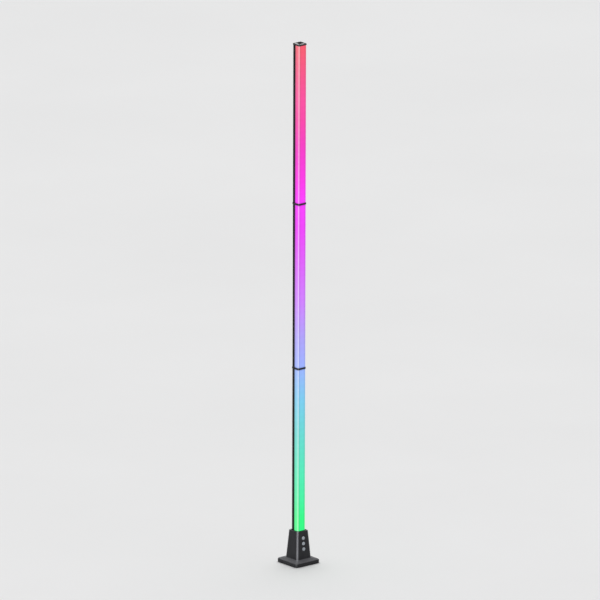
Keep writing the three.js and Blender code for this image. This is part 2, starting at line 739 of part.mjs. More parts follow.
function diffuserOutline() {
  const outer = TUBE_HALF;
  const inner = TUBE_HALF - DIFFUSER_WALL;
  const seam = SEAM_Y - GAP;
  const clipOuter = TUBE_HALF - CHANNEL_WALL - GAP;
  const clipInner = clipOuter - CLIP_WALL;
  const arc = outer - FRONT_CORNER;
  const innerArc = FRONT_CORNER - DIFFUSER_WALL;
  const shape = new THREE.Shape();
  shape.moveTo(-clipOuter, CLIP_END_Y);
  shape.lineTo(-clipOuter, seam);
  shape.lineTo(-outer, seam);
  shape.lineTo(-outer, -arc);
  shape.absarc(-arc, -arc, FRONT_CORNER, Math.PI, 1.5 * Math.PI, false);
  shape.lineTo(arc, -outer);
  shape.absarc(arc, -arc, FRONT_CORNER, 1.5 * Math.PI, 2 * Math.PI, false);
  shape.lineTo(outer, seam);
  shape.lineTo(clipOuter, seam);
  shape.lineTo(clipOuter, CLIP_END_Y);
  shape.lineTo(clipInner, CLIP_END_Y);
  shape.lineTo(clipInner, seam - DIFFUSER_WALL);
  shape.lineTo(inner, seam - DIFFUSER_WALL);
  shape.lineTo(inner, -arc);
  shape.absarc(arc, -arc, innerArc, 0, -Math.PI / 2, true);
  shape.lineTo(-arc, -inner);
  shape.absarc(-arc, -arc, innerArc, 1.5 * Math.PI, Math.PI, true);
  shape.lineTo(-inner, seam - DIFFUSER_WALL);
  shape.lineTo(-clipInner, seam - DIFFUSER_WALL);
  shape.lineTo(-clipInner, CLIP_END_Y);
  shape.closePath();
  return shape;
}

function channel({ bottom, top }) {
  const profile = prism(channelOutline(), bottom, top, 2);
  return cut(profile, channelScrewHole(bottom + SCREW_RISE), channelScrewHole(top - SCREW_RISE));
}

function diffuser({ bottom, top }) {
  return prism(diffuserOutline(), bottom, top, 4);
}

function ledStrip({ bottom, top, bottomFitting }) {
  const low = bottom + bottomFitting + STRIP_SETBACK;
  const high = top - PLUG_LENGTH - STRIP_SETBACK;
  const tapeFront = PLUG_BACK_Y - TAPE_THICKNESS;
  const tapeMiddle = PLUG_BACK_Y - TAPE_THICKNESS / 2;
  const tape = block(-TAPE_HALF_WIDTH, TAPE_HALF_WIDTH, tapeFront, PLUG_BACK_Y, low, high);
  const count = Math.floor((high - low - 2 * LED_HALF) / LED_PITCH);
  const first = (low + high - count * LED_PITCH) / 2;
  const lights = [];
  for (let i = 0; i <= count; i += 1) {
    const z = first + i * LED_PITCH;
    const front = tapeFront - LED_HEIGHT;
    lights.push(block(-LED_HALF, LED_HALF, front, tapeMiddle, z - LED_HALF, z + LED_HALF));
  }
  return join(tape, ...lights);
}

function insertBlock(z0, z1) {
  return block(-PLUG_HALF, PLUG_HALF, -PLUG_HALF, PLUG_BACK_Y, z0, z1);
}

// Closes the foot of the lower section, and carries it in the base's socket.
function lowerPlug({ bottom }) {
  const flangeBottom = bottom - GAP - PLUG_FLANGE;
  const flangeMiddle = flangeBottom + PLUG_FLANGE / 2;
  return cut(
    join(
      prism(tubeOutline(0), flangeBottom, flangeBottom + PLUG_FLANGE),
      insertBlock(flangeMiddle, bottom + PLUG_LENGTH),
      squareBlock(BASE_SPIGOT_HALF, BASE_SPIGOT_END_Z, flangeMiddle),
    ),
    squareBlock(WIREWAY_HALF, BASE_SPIGOT_END_Z - CUT, bottom + PLUG_LENGTH + CUT),
    plugScrewHole(bottom + SCREW_RISE),
  );
}

function lowerPlugContacts() {
  const top = BASE_SPIGOT_END_Z + PAD_BLOCK_LENGTH;
  return contactBlock(CONTACT_HALF, BASE_SPIGOT_END_Z, top, PAD_RADIUS, 0, PAD_HEIGHT);
}

// A ring between two sections, with a plug below it and a spigot above it.
function coupler(ringZ, screwZ) {
  const ringBottom = ringZ - RING_HEIGHT / 2;
  const ringTop = ringZ + RING_HEIGHT / 2;
  const full = TUBE_HALF + TRIM_OVERHANG;
  const ring = loft(tubeOutline(TRIM_OVERHANG), [
    [ringBottom, (full - RING_EDGE) / full],
    [ringBottom + RING_EDGE, 1],
    [ringTop - RING_EDGE, 1],
    [ringTop, (full - RING_EDGE) / full],
  ]);
  return cut(
    join(
      ring,
      insertBlock(ringBottom - PLUG_LENGTH, ringZ),
      squareBlock(JOINT_SPIGOT_HALF, ringZ, ringTop + JOINT_SPIGOT_LENGTH),
    ),
    squareBlock(WIREWAY_HALF, ringBottom - PLUG_LENGTH - CUT, ringTop + JOINT_SPIGOT_LENGTH + CUT),
    plugScrewHole(screwZ),
  );
}

function couplerContacts(ringZ) {
  const top = ringZ + RING_HEIGHT / 2 + JOINT_SPIGOT_LENGTH;
  return contactBlock(CONTACT_HALF, top - PAD_BLOCK_LENGTH, top, PAD_RADIUS, PAD_HEIGHT, 0);
}

// The fitting in the foot of the middle and upper sections, which a coupler's spigot enters.
function socketPlug({ bottom }) {
  const floor = bottom + SOCKET_RECESS_DEPTH;
  const top = bottom + SOCKET_PLUG_LENGTH;
  return cut(
    insertBlock(bottom, top),
    squareBlock(JOINT_SPIGOT_HALF + GAP, bottom - CUT, floor),
    squareBlock(WIREWAY_HALF + GAP, floor - CUT, top + CUT),
    plugScrewHole(bottom + SCREW_RISE),
  );
}

function socketPlugContacts({ bottom }) {
  const floor = bottom + SOCKET_RECESS_DEPTH;
  const top = bottom + SOCKET_PLUG_LENGTH - GAP;
  return contactBlock(WIREWAY_HALF, floor, top, PIN_RADIUS, 0, PIN_LENGTH);
}

function topCap({ top }) {
  const full = TUBE_HALF + TRIM_OVERHANG;
  const capBottom = OVERALL_HEIGHT - CAP_HEIGHT;
  const rimZ = OVERALL_HEIGHT - CAP_BOSS_HEIGHT;
  const lid = loft(tubeOutline(TRIM_OVERHANG), [
    [capBottom, (full - CAP_EDGE) / full],
    [capBottom + CAP_EDGE, 1],
    [rimZ - CAP_TOP_EDGE, 1],
    [rimZ, (full - CAP_TOP_EDGE) / full],
  ]);
  const boss = loft(roundedOutline(1, 1, CAP_BOSS_CORNER, CAP_BOSS_CORNER), [
    [rimZ - CUT, CAP_BOSS_HALF],
    [rimZ, CAP_BOSS_HALF],
    [OVERALL_HEIGHT, CAP_BOSS_HALF - CAP_BOSS_HEIGHT],
  ]);
  return cut(
    join(lid, boss, insertBlock(capBottom - PLUG_LENGTH, capBottom + CUT)),
    squareBlock(WIREWAY_HALF, capBottom - PLUG_LENGTH - CUT, capBottom - CAP_SKIN),
    plugScrewHole(top - SCREW_RISE),
  );
}

// ---------------------------------------------------------------- assembly

const lamp = new THREE.Group();

function addBase() {
  lamp.add(
    named('base_shell', baseShell(), FINISH.baseShell),
    named('socket_gasket', socketGasket(), FINISH.rubber),
    named('tube_socket', tubeSocket(), FINISH.moulding),
    named('socket_contacts', socketContacts(), FINISH.contact),
    named('weight_plate', weightPlate(), FINISH.steel),
    named('bottom_cover', bottomCover(), FINISH.moulding),
    named('power_inlet', powerInlet(), FINISH.steel),
    named('inlet_lead', inletLead(), FINISH.lead),
    named('socket_lead', socketLead(), FINISH.lead),
  );
  for (const { name, x, y } of footPlaces) {
    lamp.add(named(name, foot(x, y), FINISH.rubber));
  }
  coverScrewPlaces.forEach(({ x, y }, i) => {
    const piece = named(`cover_screw_${i + 1}`, screw(COVER_SCREW), FINISH.screw);
    piece.position.set(x, y, COVER_SCREW_TOP_Z - COVER_SCREW.length);
    lamp.add(piece);
  });
  [-SOCKET_SCREW_X, SOCKET_SCREW_X].forEach((x, i) => {
    const piece = named(`socket_screw_${i + 1}`, screw(SOCKET_SCREW), FINISH.screw);
    piece.position.set(x, 0, SLEEVE_FLANGE_Z - GAP - SOCKET_SCREW.headHeight);
    lamp.add(piece);
  });
}

function addFrontPanel() {
  frontPanel.add(named('control_board', controlBoard(), FINISH.board));
  [-BOARD_SCREW_X, BOARD_SCREW_X].forEach((x, i) => {
    const piece = named(`board_screw_${i + 1}`, boardScrew(), FINISH.screw);
    piece.position.set(x, 0, BOARD_SCREW_HEIGHT);
    frontPanel.add(piece);
  });
  frontPanel.add(named('controller_chip', controllerChip(), FINISH.chip));
  frontPanel.add(named('board_connector', boardConnector(), FINISH.strip));
  for (const { name, z } of BUTTONS) {
    const pieces = [
      named(`${name}_button`, buttonCap(), FINISH.button),
      named(`${name}_plunger`, switchPlunger(), FINISH.chip),
      named(`${name}_switch`, tactileSwitch(), FINISH.chip),
    ];
    for (const piece of pieces) {
      piece.position.set(0, 0, panelHeight(z));
      frontPanel.add(piece);
    }
  }
  lamp.add(frontPanel);
}

function addSections() {
  for (const section of sections) {
    const { name, bottom, top } = section;
    const glow = { color: DIFFUSER_COLOUR[name], roughness: 0.5, metalness: 0 };
    lamp.add(
      named(`${name}_channel`, channel(section), FINISH.channel),
      named(`${name}_diffuser`, diffuser(section), glow),
      named(`${name}_led_strip`, ledStrip(section), FINISH.strip),
      named(`${name}_bottom_screw`, channelScrew(bottom + SCREW_RISE), FINISH.screw),
      named(`${name}_top_screw`, channelScrew(top - SCREW_RISE), FINISH.screw),
    );
  }
}

function addFittings() {
  const [lower, middle, upper] = sections;
  lamp.add(
    named('lower_plug', lowerPlug(lower), FINISH.moulding),
    named('lower_plug_contacts', lowerPlugContacts(), FINISH.contact),
    named('lower_coupler', coupler(LOWER_RING_Z, lower.top - SCREW_RISE), FINISH.trim),
    named('lower_coupler_contacts', couplerContacts(LOWER_RING_Z), FINISH.contact),
    named('middle_socket', socketPlug(middle), FINISH.moulding),
    named('middle_socket_contacts', socketPlugContacts(middle), FINISH.contact),
    named('upper_coupler', coupler(UPPER_RING_Z, middle.top - SCREW_RISE), FINISH.trim),
    named('upper_coupler_contacts', couplerContacts(UPPER_RING_Z), FINISH.contact),
    named('upper_socket', socketPlug(upper), FINISH.moulding),
    named('upper_socket_contacts', socketPlugContacts(upper), FINISH.contact),
    named('top_cap', topCap(upper), FINISH.trim),
  );
}

addBase();
addFrontPanel();
addSections();
addFittings();

export default lamp;
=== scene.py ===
import json
import math

import bmesh
import bpy
from mathutils import Matrix, Vector


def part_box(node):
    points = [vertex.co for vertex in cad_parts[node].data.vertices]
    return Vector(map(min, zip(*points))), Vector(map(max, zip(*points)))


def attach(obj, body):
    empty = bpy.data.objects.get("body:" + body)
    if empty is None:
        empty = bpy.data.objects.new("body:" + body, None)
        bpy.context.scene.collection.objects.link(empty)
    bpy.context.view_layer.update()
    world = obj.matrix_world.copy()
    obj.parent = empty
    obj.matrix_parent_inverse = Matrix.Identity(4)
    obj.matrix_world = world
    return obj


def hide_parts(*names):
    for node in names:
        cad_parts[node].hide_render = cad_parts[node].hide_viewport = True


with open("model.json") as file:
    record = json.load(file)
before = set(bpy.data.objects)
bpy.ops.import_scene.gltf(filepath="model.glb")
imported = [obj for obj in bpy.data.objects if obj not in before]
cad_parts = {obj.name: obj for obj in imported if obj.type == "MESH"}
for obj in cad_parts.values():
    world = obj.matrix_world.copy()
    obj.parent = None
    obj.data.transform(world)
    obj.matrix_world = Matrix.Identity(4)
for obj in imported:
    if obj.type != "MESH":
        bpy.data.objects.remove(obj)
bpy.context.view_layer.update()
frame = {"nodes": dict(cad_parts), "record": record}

MM = 0.001
GAP = 0.3 * MM
CUT = 1 * MM  # how far a cutter reaches past what it cuts
CORNER_STEPS = 8  # flats that make up the arc of a corner

# ---- sizes, from the frame

SECTIONS = ("lower", "middle", "upper")
SCREW_ENDS = ("bottom", "top")
BUTTONS = ("power", "colour", "mode")
FEET = tuple(f"foot_{end}_{side}" for end in ("front", "rear") for side in ("left", "right"))
COVER_SCREWS = tuple(f"cover_screw_{i}" for i in (1, 2, 3, 4))

SHELL_LOW, SHELL_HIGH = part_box("base_shell")
FOOT_HALF = SHELL_HIGH.x
SHELL_BOTTOM = SHELL_LOW.z
BASE_TOP = SHELL_HIGH.z
TUBE_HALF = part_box("lower_channel")[1].x
SEAM_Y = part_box("lower_channel")[0].y
CLIP_END_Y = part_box("lower_diffuser")[1].y
GASKET_LOW, GASKET_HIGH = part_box("socket_gasket")
SHELL_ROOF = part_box("tube_socket")[1].z + GAP
INLET_LOW, INLET_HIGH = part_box("power_inlet")
INLET_Z = (INLET_LOW.z + INLET_HIGH.z) / 2
INLET_HALF_HEIGHT = (INLET_HIGH.z - INLET_LOW.z) / 2
LAMP_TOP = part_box("top_cap")[1].z
CAP_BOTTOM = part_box("upper_channel")[1].z + GAP
TRIM_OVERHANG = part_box("top_cap")[1].x - TUBE_HALF
PLUG_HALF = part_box("middle_socket")[1].x
PLUG_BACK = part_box("middle_socket")[1].y
WIREWAY_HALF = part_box("lower_coupler_contacts")[1].x + GAP

RING_HEIGHTS = [
    (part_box(f"{below}_channel")[1].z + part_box(f"{above}_channel")[0].z) / 2
    for below, above in zip(SECTIONS, SECTIONS[1:])
]

# Buttons: distances along Z are from the face into the base
BUTTON_PROUD = 0.9 * MM
BUTTON_EDGE = 0.5 * MM
BUTTON_FLANGE = 0.95 * MM  # how far the hidden flange stands out past the cap
BUTTON_FLANGE_END = 3.2 * MM
BUTTON_STEM = (1.6 * MM, 3.65 * MM)  # radius, and where it ends
DISH_DEPTH = 0.26 * MM
DISH_CURVE = 0.264 * MM  # depth of the parabola that the dish follows out to its edge
DISH_EDGE = 0.85  # as a share of the cap's radius
BORE_CHAMFER = 0.35 * MM

# Sections of the tube and its trim
FRONT_CORNER = 3 * MM
BACK_CORNER = 1.8 * MM
CHANNEL_WALL = 1.4 * MM
DIFFUSER_WALL = 1.5 * MM
CLIP_WALL = 1.2 * MM
RING_EDGE = 0.6 * MM
CAP_TOP_EDGE = 0.8 * MM
CAP_BOSS_HALF = 10 * MM
CAP_BOSS_HEIGHT = 1.3 * MM
CAP_BOSS_CORNER = 2.5 * MM
CAP_SKIN = 4 * MM

# Screws
RECESS_SHARE = 0.6  # reach of a cross recess as a share of its head's radius
COVER_SCREW_HEAD = 0.9 * MM
COVER_SCREW_SHANK = 1.2 * MM
COVER_SCREW_HOLE = 1.5 * MM
SOCKET_SCREW_HOLE = 1.1 * MM
CHANNEL_SCREW_SHANK = 0.9 * MM
CHANNEL_SCREW_HOLE = 1.2 * MM
COUNTERSINK = (2.5 * MM, 0.35 * MM, 1.35 * MM)  # radius, and where its cone starts and ends

# Fittings
JOINT_SPIGOT_HALF = 7.7 * MM
BASE_SPIGOT_HALF = 8.5 * MM
SLEEVE_WALL = 1.6 * MM
SLEEVE_FLANGE_HALF = 13 * MM
SLEEVE_FLANGE = 1.8 * MM
SLEEVE_FLOOR = 4 * MM
PLUG_FLANGE = 2 * MM
CONTACT_SPREAD = 3 * MM
PIN = (0.7 * MM, 1.3 * MM)  # radius and length
PAD = (1.4 * MM, 0.3 * MM)

# The base shell's outline
CORNER_RATIO = 0.21  # corner radius as a share of the half width
SHOULDER_TOP = 10.5 * MM
SHOULDER_RADIUS = 3.0 * MM
FOOT_EDGE = 0.5 * MM
POST_FILLET = (2.2 * MM, 2.3 * MM, 1.7 * MM)  # radius, and its centre out from and above POST_FOOT
RIM_RADIUS = 1.4 * MM
RIM_BREAK = 0.3 * MM
POST_FOOT = (14.6 * MM, 23.9 * MM)  # height and half width where the post meets the foot
POST_TOP_HALF = 18.4 * MM
SHELL_WALL = 2.2 * MM
FLANGE_WALL = 2.5 * MM
MOUTH_DEPTH = 8 * MM
SPIGOT_HOLE_HALF = BASE_SPIGOT_HALF + GAP
INLET_TONGUE = Vector((3.3, 1.2, 0.35)) * MM  # half width, setback and half height

POST_SLOPE = (POST_FOOT[1] - POST_TOP_HALF) / (BASE_TOP - POST_FOOT[0])
FACE_TILT = math.atan(POST_SLOPE)


def post_half(z):
    return POST_FOOT[1] - (z - POST_FOOT[0]) * POST_SLOPE


# ---- mesh helpers


def rounded_ring(half, front_radius, back_radius, z):
    """Points round a square with rounded corners, anticlockwise seen from above."""
    corners = (
        (1, -1, front_radius, -90),
        (1, 1, back_radius, 0),
        (-1, 1, back_radius, 90),
        (-1, -1, front_radius, 180),
    )
    points = []
    for side_x, side_y, radius, start in corners:
        centre = Vector((side_x * (half - radius), side_y * (half - radius), z))
        for i in range(CORNER_STEPS + 1):
            angle = math.radians(start + 90 * i / CORNER_STEPS)
            points.append(centre + radius * Vector((math.cos(angle), math.sin(angle), 0)))
    return points


def tube_ring(offset, z):
    """The tube's own outline at a height, grown outwards by an offset."""
    return rounded_ring(TUBE_HALF + offset, FRONT_CORNER + offset, BACK_CORNER + offset, z)


def even_ring(half, z, radius=None):
    """A square ring. Its corner radius is a fixed share of its half width unless one is given."""
    radius = half * CORNER_RATIO if radius is None else radius
    return rounded_ring(half, radius, radius, z)


def arc(centre, radius, start, end, count):
    """Points (across, up) on an arc, with its angles in degrees."""
    points = []
    for i in range(count + 1):
        angle = math.radians(start + (end - start) * i / count)
        points.append((centre[0] + radius * math.cos(angle), centre[1] + radius * math.sin(angle)))
    return points


def mesh_object(name, bm):
    bmesh.ops.recalc_face_normals(bm, faces=bm.faces)
    for face in bm.faces:
        face.smooth = True
    mesh = bpy.data.meshes.new(name)
    bm.to_mesh(mesh)
    bm.free()
    piece = bpy.data.objects.new(name, mesh)
    bpy.context.scene.collection.objects.link(piece)
    return piece


def loft(name, rings, endless=False):
    """A closed skin through rings of equal length. An endless one joins its last ring to its first."""
    bm = bmesh.new()
    rows = [[bm.verts.new(point) for point in ring] for ring in rings]
    pairs = list(zip(rows, rows[1:]))
    if endless:
        pairs.append((rows[-1], rows[0]))
    else:
        bm.faces.new(list(reversed(rows[0])))
        bm.faces.new(rows[-1])
    for low, high in pairs:
        for i in range(len(low)):
            j = (i + 1) % len(low)
            bm.faces.new((low[i], low[j], high[j], high[i]))
    return mesh_object(name, bm)


def prism(name, outline, low, high):
    """An outline of (x, y) points drawn out along Z."""
    return loft(name, [[Vector((x, y, z)) for x, y in outline] for z in (low, high)])


def lathe(name, profile, matrix=Matrix.Identity(4), segments=48):
    """A turned solid about Z. The profile of (radius, height) starts and ends on the axis."""
    bm = bmesh.new()
    rows = []
    for radius, height in profile:
        if radius == 0:
            rows.append([bm.verts.new((0, 0, height))])
            continue
        angles = [2 * math.pi * i / segments for i in range(segments)]
        rows.append([bm.verts.new((radius * math.cos(a), radius * math.sin(a), height)) for a in angles])
    for low, high in zip(rows, rows[1:]):
        for i in range(segments):
            j = (i + 1) % segments
            corners = [low[i % len(low)], low[j % len(low)], high[j % len(high)], high[i % len(high)]]
            bm.faces.new(list(dict.fromkeys(corners)))
    bm.transform(matrix)
    return mesh_object(name, bm)


def settle(piece):
    """Applies the modifiers to the mesh."""
    graph = bpy.context.evaluated_depsgraph_get()
    mesh = bpy.data.meshes.new_from_object(piece.evaluated_get(graph), depsgraph=graph)
    piece.modifiers.clear()
    piece.data = mesh


def combine(piece, others, operation):
    """Joins the other solids to the piece, or cuts them out of it, and removes them."""
    for other in others:
        step = piece.modifiers.new("step", "BOOLEAN")
        step.operation = operation
        step.solver = "EXACT"
        step.object = other
    settle(piece)
    for other in others:
        bpy.data.objects.remove(other)


def carve(piece, cutters):
    combine(piece, cutters, "DIFFERENCE")


def weld(piece, others):
    combine(piece, others, "UNION")


def soft_block(name, x, y, z, radius, edge):
    """A block with rounded upright corners and a small chamfer at both ends."""
    (x0, x1), (y0, y1), (z0, z1) = x, y, z
    middle = Vector(((x0 + x1) / 2, (y0 + y1) / 2, 0))
    half = Vector(((x1 - x0) / 2, (y1 - y0) / 2, 0))
    rings = []
    for height, inset in ((z0, edge), (z0 + edge, 0), (z1 - edge, 0), (z1, edge)):
        ring = []
        for side_x, side_y, start in ((1, -1, -90), (1, 1, 0), (-1, 1, 90), (-1, -1, 180)):
            centre = (side_x * (half.x - radius), side_y * (half.y - radius))
            for across, along in arc(centre, radius - inset, start, start + 90, 6):
                ring.append(middle + Vector((across, along, height)))
        rings.append(ring)
    return loft(name, rings)


def square_block(name, half, low, high, edge=0.4 * MM):
    return soft_block(name, (-half, half), (-half, half), (low, high), 0.8 * MM, edge)


def softened(low, high, outer, radius, steps=3):
    """Points (across, up) up a side whose bottom and top edges are rounded."""
    inner = outer - radius
    bottom = arc((inner, low + radius), radius, -90, 0, steps)
    return bottom + arc((inner, high - radius), radius, 0, 90, steps)


def cylinder(name, radius, low, high, matrix, segments=40):
    """A plain round cutter."""
    return lathe(name, [(0, low), (radius, low), (radius, high), (0, high)], matrix, segments)


def shade(piece, sharp_angle):
    """Smooth faces, sharp edges past an angle, and normals that keep the flats flat."""
    bm = bmesh.new()
    bm.from_mesh(piece.data)
    for edge in bm.edges:
        edge.smooth = len(edge.link_faces) == 2 and edge.calc_face_angle() < math.radians(sharp_angle)
    bm.to_mesh(piece.data)
    bm.free()
    for polygon in piece.data.polygons:
        polygon.use_smooth = True
    weighted = piece.modifiers.new("normals", "WEIGHTED_NORMAL")
    weighted.keep_sharp = True


def finish_piece(piece, body, node, slot, sharp_angle=30):
    """Shades a piece, gives it its slot's material and its body, and hides the CAD node it stands for.
    """
    shade(piece, sharp_angle)
    piece.data.materials.clear()
    piece.data.materials.append(MATERIALS[slot])
    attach(piece, body)
    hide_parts(node)


# ---- material helpers


def srgb(code):
    """Linear RGBA from a hex colour."""
    channels = [int(code[i : i + 2], 16) / 255 for i in (0, 2, 4)]
    linear = [c / 12.92 if c <= 0.04045 else ((c + 0.055) / 1.055) ** 2.4 for c in channels]
    return (*linear, 1)


class Look:
    """A node material with one Principled shader, and short ways to add textures to it."""

    def __init__(self, name, **sockets):
        self.material = bpy.data.materials.new(name)
        self.material.use_nodes = True
        self.tree = self.material.node_tree
        self.shader = self.tree.nodes["Principled BSDF"]
        for socket, value in sockets.items():
            self.shader.inputs[socket.replace("_", " ")].default_value = value
        coordinates = self.tree.nodes.new("ShaderNodeTexCoord")
        self.place = coordinates.outputs["Object"]
        self.surface = coordinates.outputs["Normal"]

    def feed(self, socket, value):
        """Links an output to a socket, or sets a constant on it."""
        if isinstance(value, bpy.types.NodeSocket):
            self.tree.links.new(value, socket)
        else:
            socket.default_value = value

    def node(self, kind, **sockets):
        made = self.tree.nodes.new(kind)
        for socket, value in sockets.items():
            self.feed(made.inputs[socket.replace("_", " ")], value)
        return made

    def stretched(self, x, y, z):
        """The object's coordinates, scaled to features per metre along each axis."""
        return self.node("ShaderNodeMapping", Vector=self.place, Scale=(x, y, z)).outputs[0]

    def noise(self, vector, detail=3.0):
        sockets = {"Vector": vector, "Scale": 1.0, "Detail": detail, "Roughness": 0.55}
        return self.node("ShaderNodeTexNoise", **sockets).outputs["Fac"]

    def ramp(self, factor, *stops):
        made = self.node("ShaderNodeValToRGB", Fac=factor)
        elements = made.color_ramp.elements
        while len(elements) < len(stops):
            elements.new(0.5)
        for element, (position, colour) in zip(elements, stops):
            element.position = position
            element.color = colour
        return made.outputs["Color"]

    def between(self, value, low, high, from_low=0.3, from_high=0.7):
        """Maps the value from one range to another, and holds it inside that."""
        ends = {"From_Min": from_low, "From_Max": from_high, "To_Min": low, "To_Max": high}
        return self.node("ShaderNodeMapRange", Value=value, **ends).outputs["Result"]

    def math(self, operation, first, second=0.0):
        made = self.tree.nodes.new("ShaderNodeMath")
        made.operation = operation
        for socket, value in zip(made.inputs, (first, second)):
            self.feed(socket, value)
        return made.outputs[0]

    def blend(self, factor, first, second, blend_type="MIX"):
        """A mix of two colours, each one a socket or a constant."""
        made = self.tree.nodes.new("ShaderNodeMix")
        made.data_type = "RGBA"
        made.blend_type = blend_type
        for index, value in ((0, factor), (6, first), (7, second)):
            self.feed(made.inputs[index], value)
        return made.outputs[2]

    def drive(self, socket, value):
        self.feed(self.shader.inputs[socket], value)

    def bump(self, height, distance, strength=0.5):
        made = self.node("ShaderNodeBump", Height=height, Distance=distance, Strength=strength)
        self.drive("Normal", made.outputs["Normal"])


def grey(level):
    return (level, level, level, 1)


def moulded(name, dark, light, roughness, grain=0.35 * MM, depth=0.03 * MM):
    """Injection-moulded plastic with a fine eroded grain and faint flow marks."""
    look = Look(name, Specular_IOR_Level=0.25)
    fine = look.noise(look.stretched(1 / grain, 1 / grain, 1 / grain), 2.0)
    broad = look.noise(look.stretched(60, 60, 25), 3.0)
    look.drive("Base Color", look.ramp(broad, (0.3, dark), (0.7, light)))
    rough = look.between(fine, roughness - 0.06, roughness + 0.07)
    look.drive("Roughness", rough)
    look.bump(fine, depth)
    return look.material


RIDGE_WIDTHS = (1.6 * MM, 5.2 * MM)  # the wear and painted highlight are full up to the first and gone by the second
RIDGE_HEIGHTS = (SHOULDER_TOP, POST_FOOT[0] + 3 * MM)  # it grows from the foot up to the post
LEDGE_HEIGHTS = (POST_FOOT[0], POST_FOOT[0] + 2 * MM)


def base_plastic():
    """Charcoal moulding, paler and smoother along its corner ridges from wear and a painted highlight,
    and paler and rougher on the upward faces of its foot, where the paleness is painted top light.
    """
    look = Look("charcoal_plastic", Specular_IOR_Level=0.25)
    fine = look.noise(look.stretched(2800, 2800, 2800), 2.0)
    broad = look.noise(look.stretched(60, 60, 25), 3.0)
    axes = look.node("ShaderNodeSeparateXYZ", Vector=look.place)
    across = look.math("ABSOLUTE", axes.outputs["X"])
    along = look.math("ABSOLUTE", axes.outputs["Y"])
    off_ridge = look.math("ABSOLUTE", look.math("SUBTRACT", across, along))
    ridge = look.between(off_ridge, 1.0, 0.0, *RIDGE_WIDTHS)
    ridge = look.math("MULTIPLY", ridge, look.between(axes.outputs["Z"], 0.1, 1.0, *RIDGE_HEIGHTS))
    # The pale colour along the corner ridges is partly wear and partly a painted highlight.
    wear_and_highlight = look.math("MULTIPLY", ridge, look.between(broad, 0.75, 1.0))
    # Upward faces low on the foot get a paler colour, which is painted top light. They are rougher too.
    upright = look.node("ShaderNodeSeparateXYZ", Vector=look.surface).outputs["Z"]
    low = look.between(axes.outputs["Z"], 1.0, 0.0, *LEDGE_HEIGHTS)
    top_lit_ledge = look.math("MULTIPLY", look.between(upright, 0.0, 1.0, 0.7, 0.95), low)
    plain = look.ramp(broad, (0.3, srgb("161619")), (0.7, srgb("1d1d20")))
    plain = look.blend(top_lit_ledge, plain, srgb("353538"))
    look.drive("Base Color", look.blend(wear_and_highlight, plain, srgb("66666a")))
    rough = look.math("ADD", look.between(fine, 0.36, 0.49), look.math("MULTIPLY", top_lit_ledge, 0.25))
    look.drive("Roughness", look.math("SUBTRACT", rough, look.math("MULTIPLY", wear_and_highlight, 0.06)))
    look.bump(fine, 0.03 * MM)
    return look.material


def button_plastic():
    return moulded("button_plastic", srgb("787d83"), srgb("84898f"), 0.4, 0.5 * MM, 0.01 * MM)


def inner_plastic():
    return moulded("inner_plastic", srgb("1b1b1d"), srgb("242427"), 0.5, 0.5 * MM)


def rubber():
    return moulded("rubber", srgb("0f0f10"), srgb("171718"), 0.8, 0.6 * MM, 0.06 * MM)


def gloss_black():
    look = Look("gloss_black", Specular_IOR_Level=0.28)
    haze = look.noise(look.stretched(150, 150, 150), 4.0)
    swirl = look.noise(look.stretched(4000, 900, 900), 2.0)
    look.drive("Base Color", look.ramp(haze, (0.3, srgb("080809")), (0.7, srgb("0d0d0e"))))
    look.drive("Roughness", look.between(haze, 0.1, 0.17))
    look.bump(swirl, 0.004 * MM, 0.3)
    return look.material


def anodised():
    """Black anodised extrusion: die lines run along it."""
    look = Look("black_anodised", Specular_IOR_Level=0.1)
    lines = look.noise(look.stretched(2500, 2500, 8), 3.0)
    tone = look.noise(look.stretched(90, 90, 4), 2.0)
    look.drive("Base Color", look.ramp(tone, (0.3, srgb("070708")), (0.7, srgb("0c0c0e"))))
    look.drive("Roughness", look.between(lines, 0.3, 0.46))
    look.bump(lines, 0.012 * MM, 0.6)
    return look.material


CORNER_GLOW_AND_HIGHLIGHT = 0.38
CORNER_REACH = 5.5 * MM
SEAM_SHADE = 0.62
EDGE_SHADE = 0.78
JOINT_SHADE = 0.6
LED_PITCH = 50 / 3 * MM

# Colour of the light by height above the floor, from the foot of the tube to its top
GLOW = (
    (0.116, "2efb85"),
    (0.170, "42f2a1"),
    (0.224, "4ceeb2"),
    (0.332, "63dccd"),
    (0.440, "79ccee"),
    (0.537, "9db0ff"),
    (0.602, "aba3f8"),
    (0.710, "ce7eff"),
    (0.817, "de5df8"),
    (0.898, "ec44f9"),
    (0.979, "fb3bff"),
    (1.033, "fb36e8"),
    (1.114, "f439c8"),
    (1.195, "f845a9"),
    (1.249, "fa4ea0"),
    (1.303, "f7528e"),
    (1.386, "f75b70"),
)

# Painted sheen: white that the side faces mix in, by height, least where the light is magenta
PAINTED_SIDE_SHEEN = ((0.68, 0.095), (0.92, 0.02), (1.10, 0.02), (1.37, 0.08))


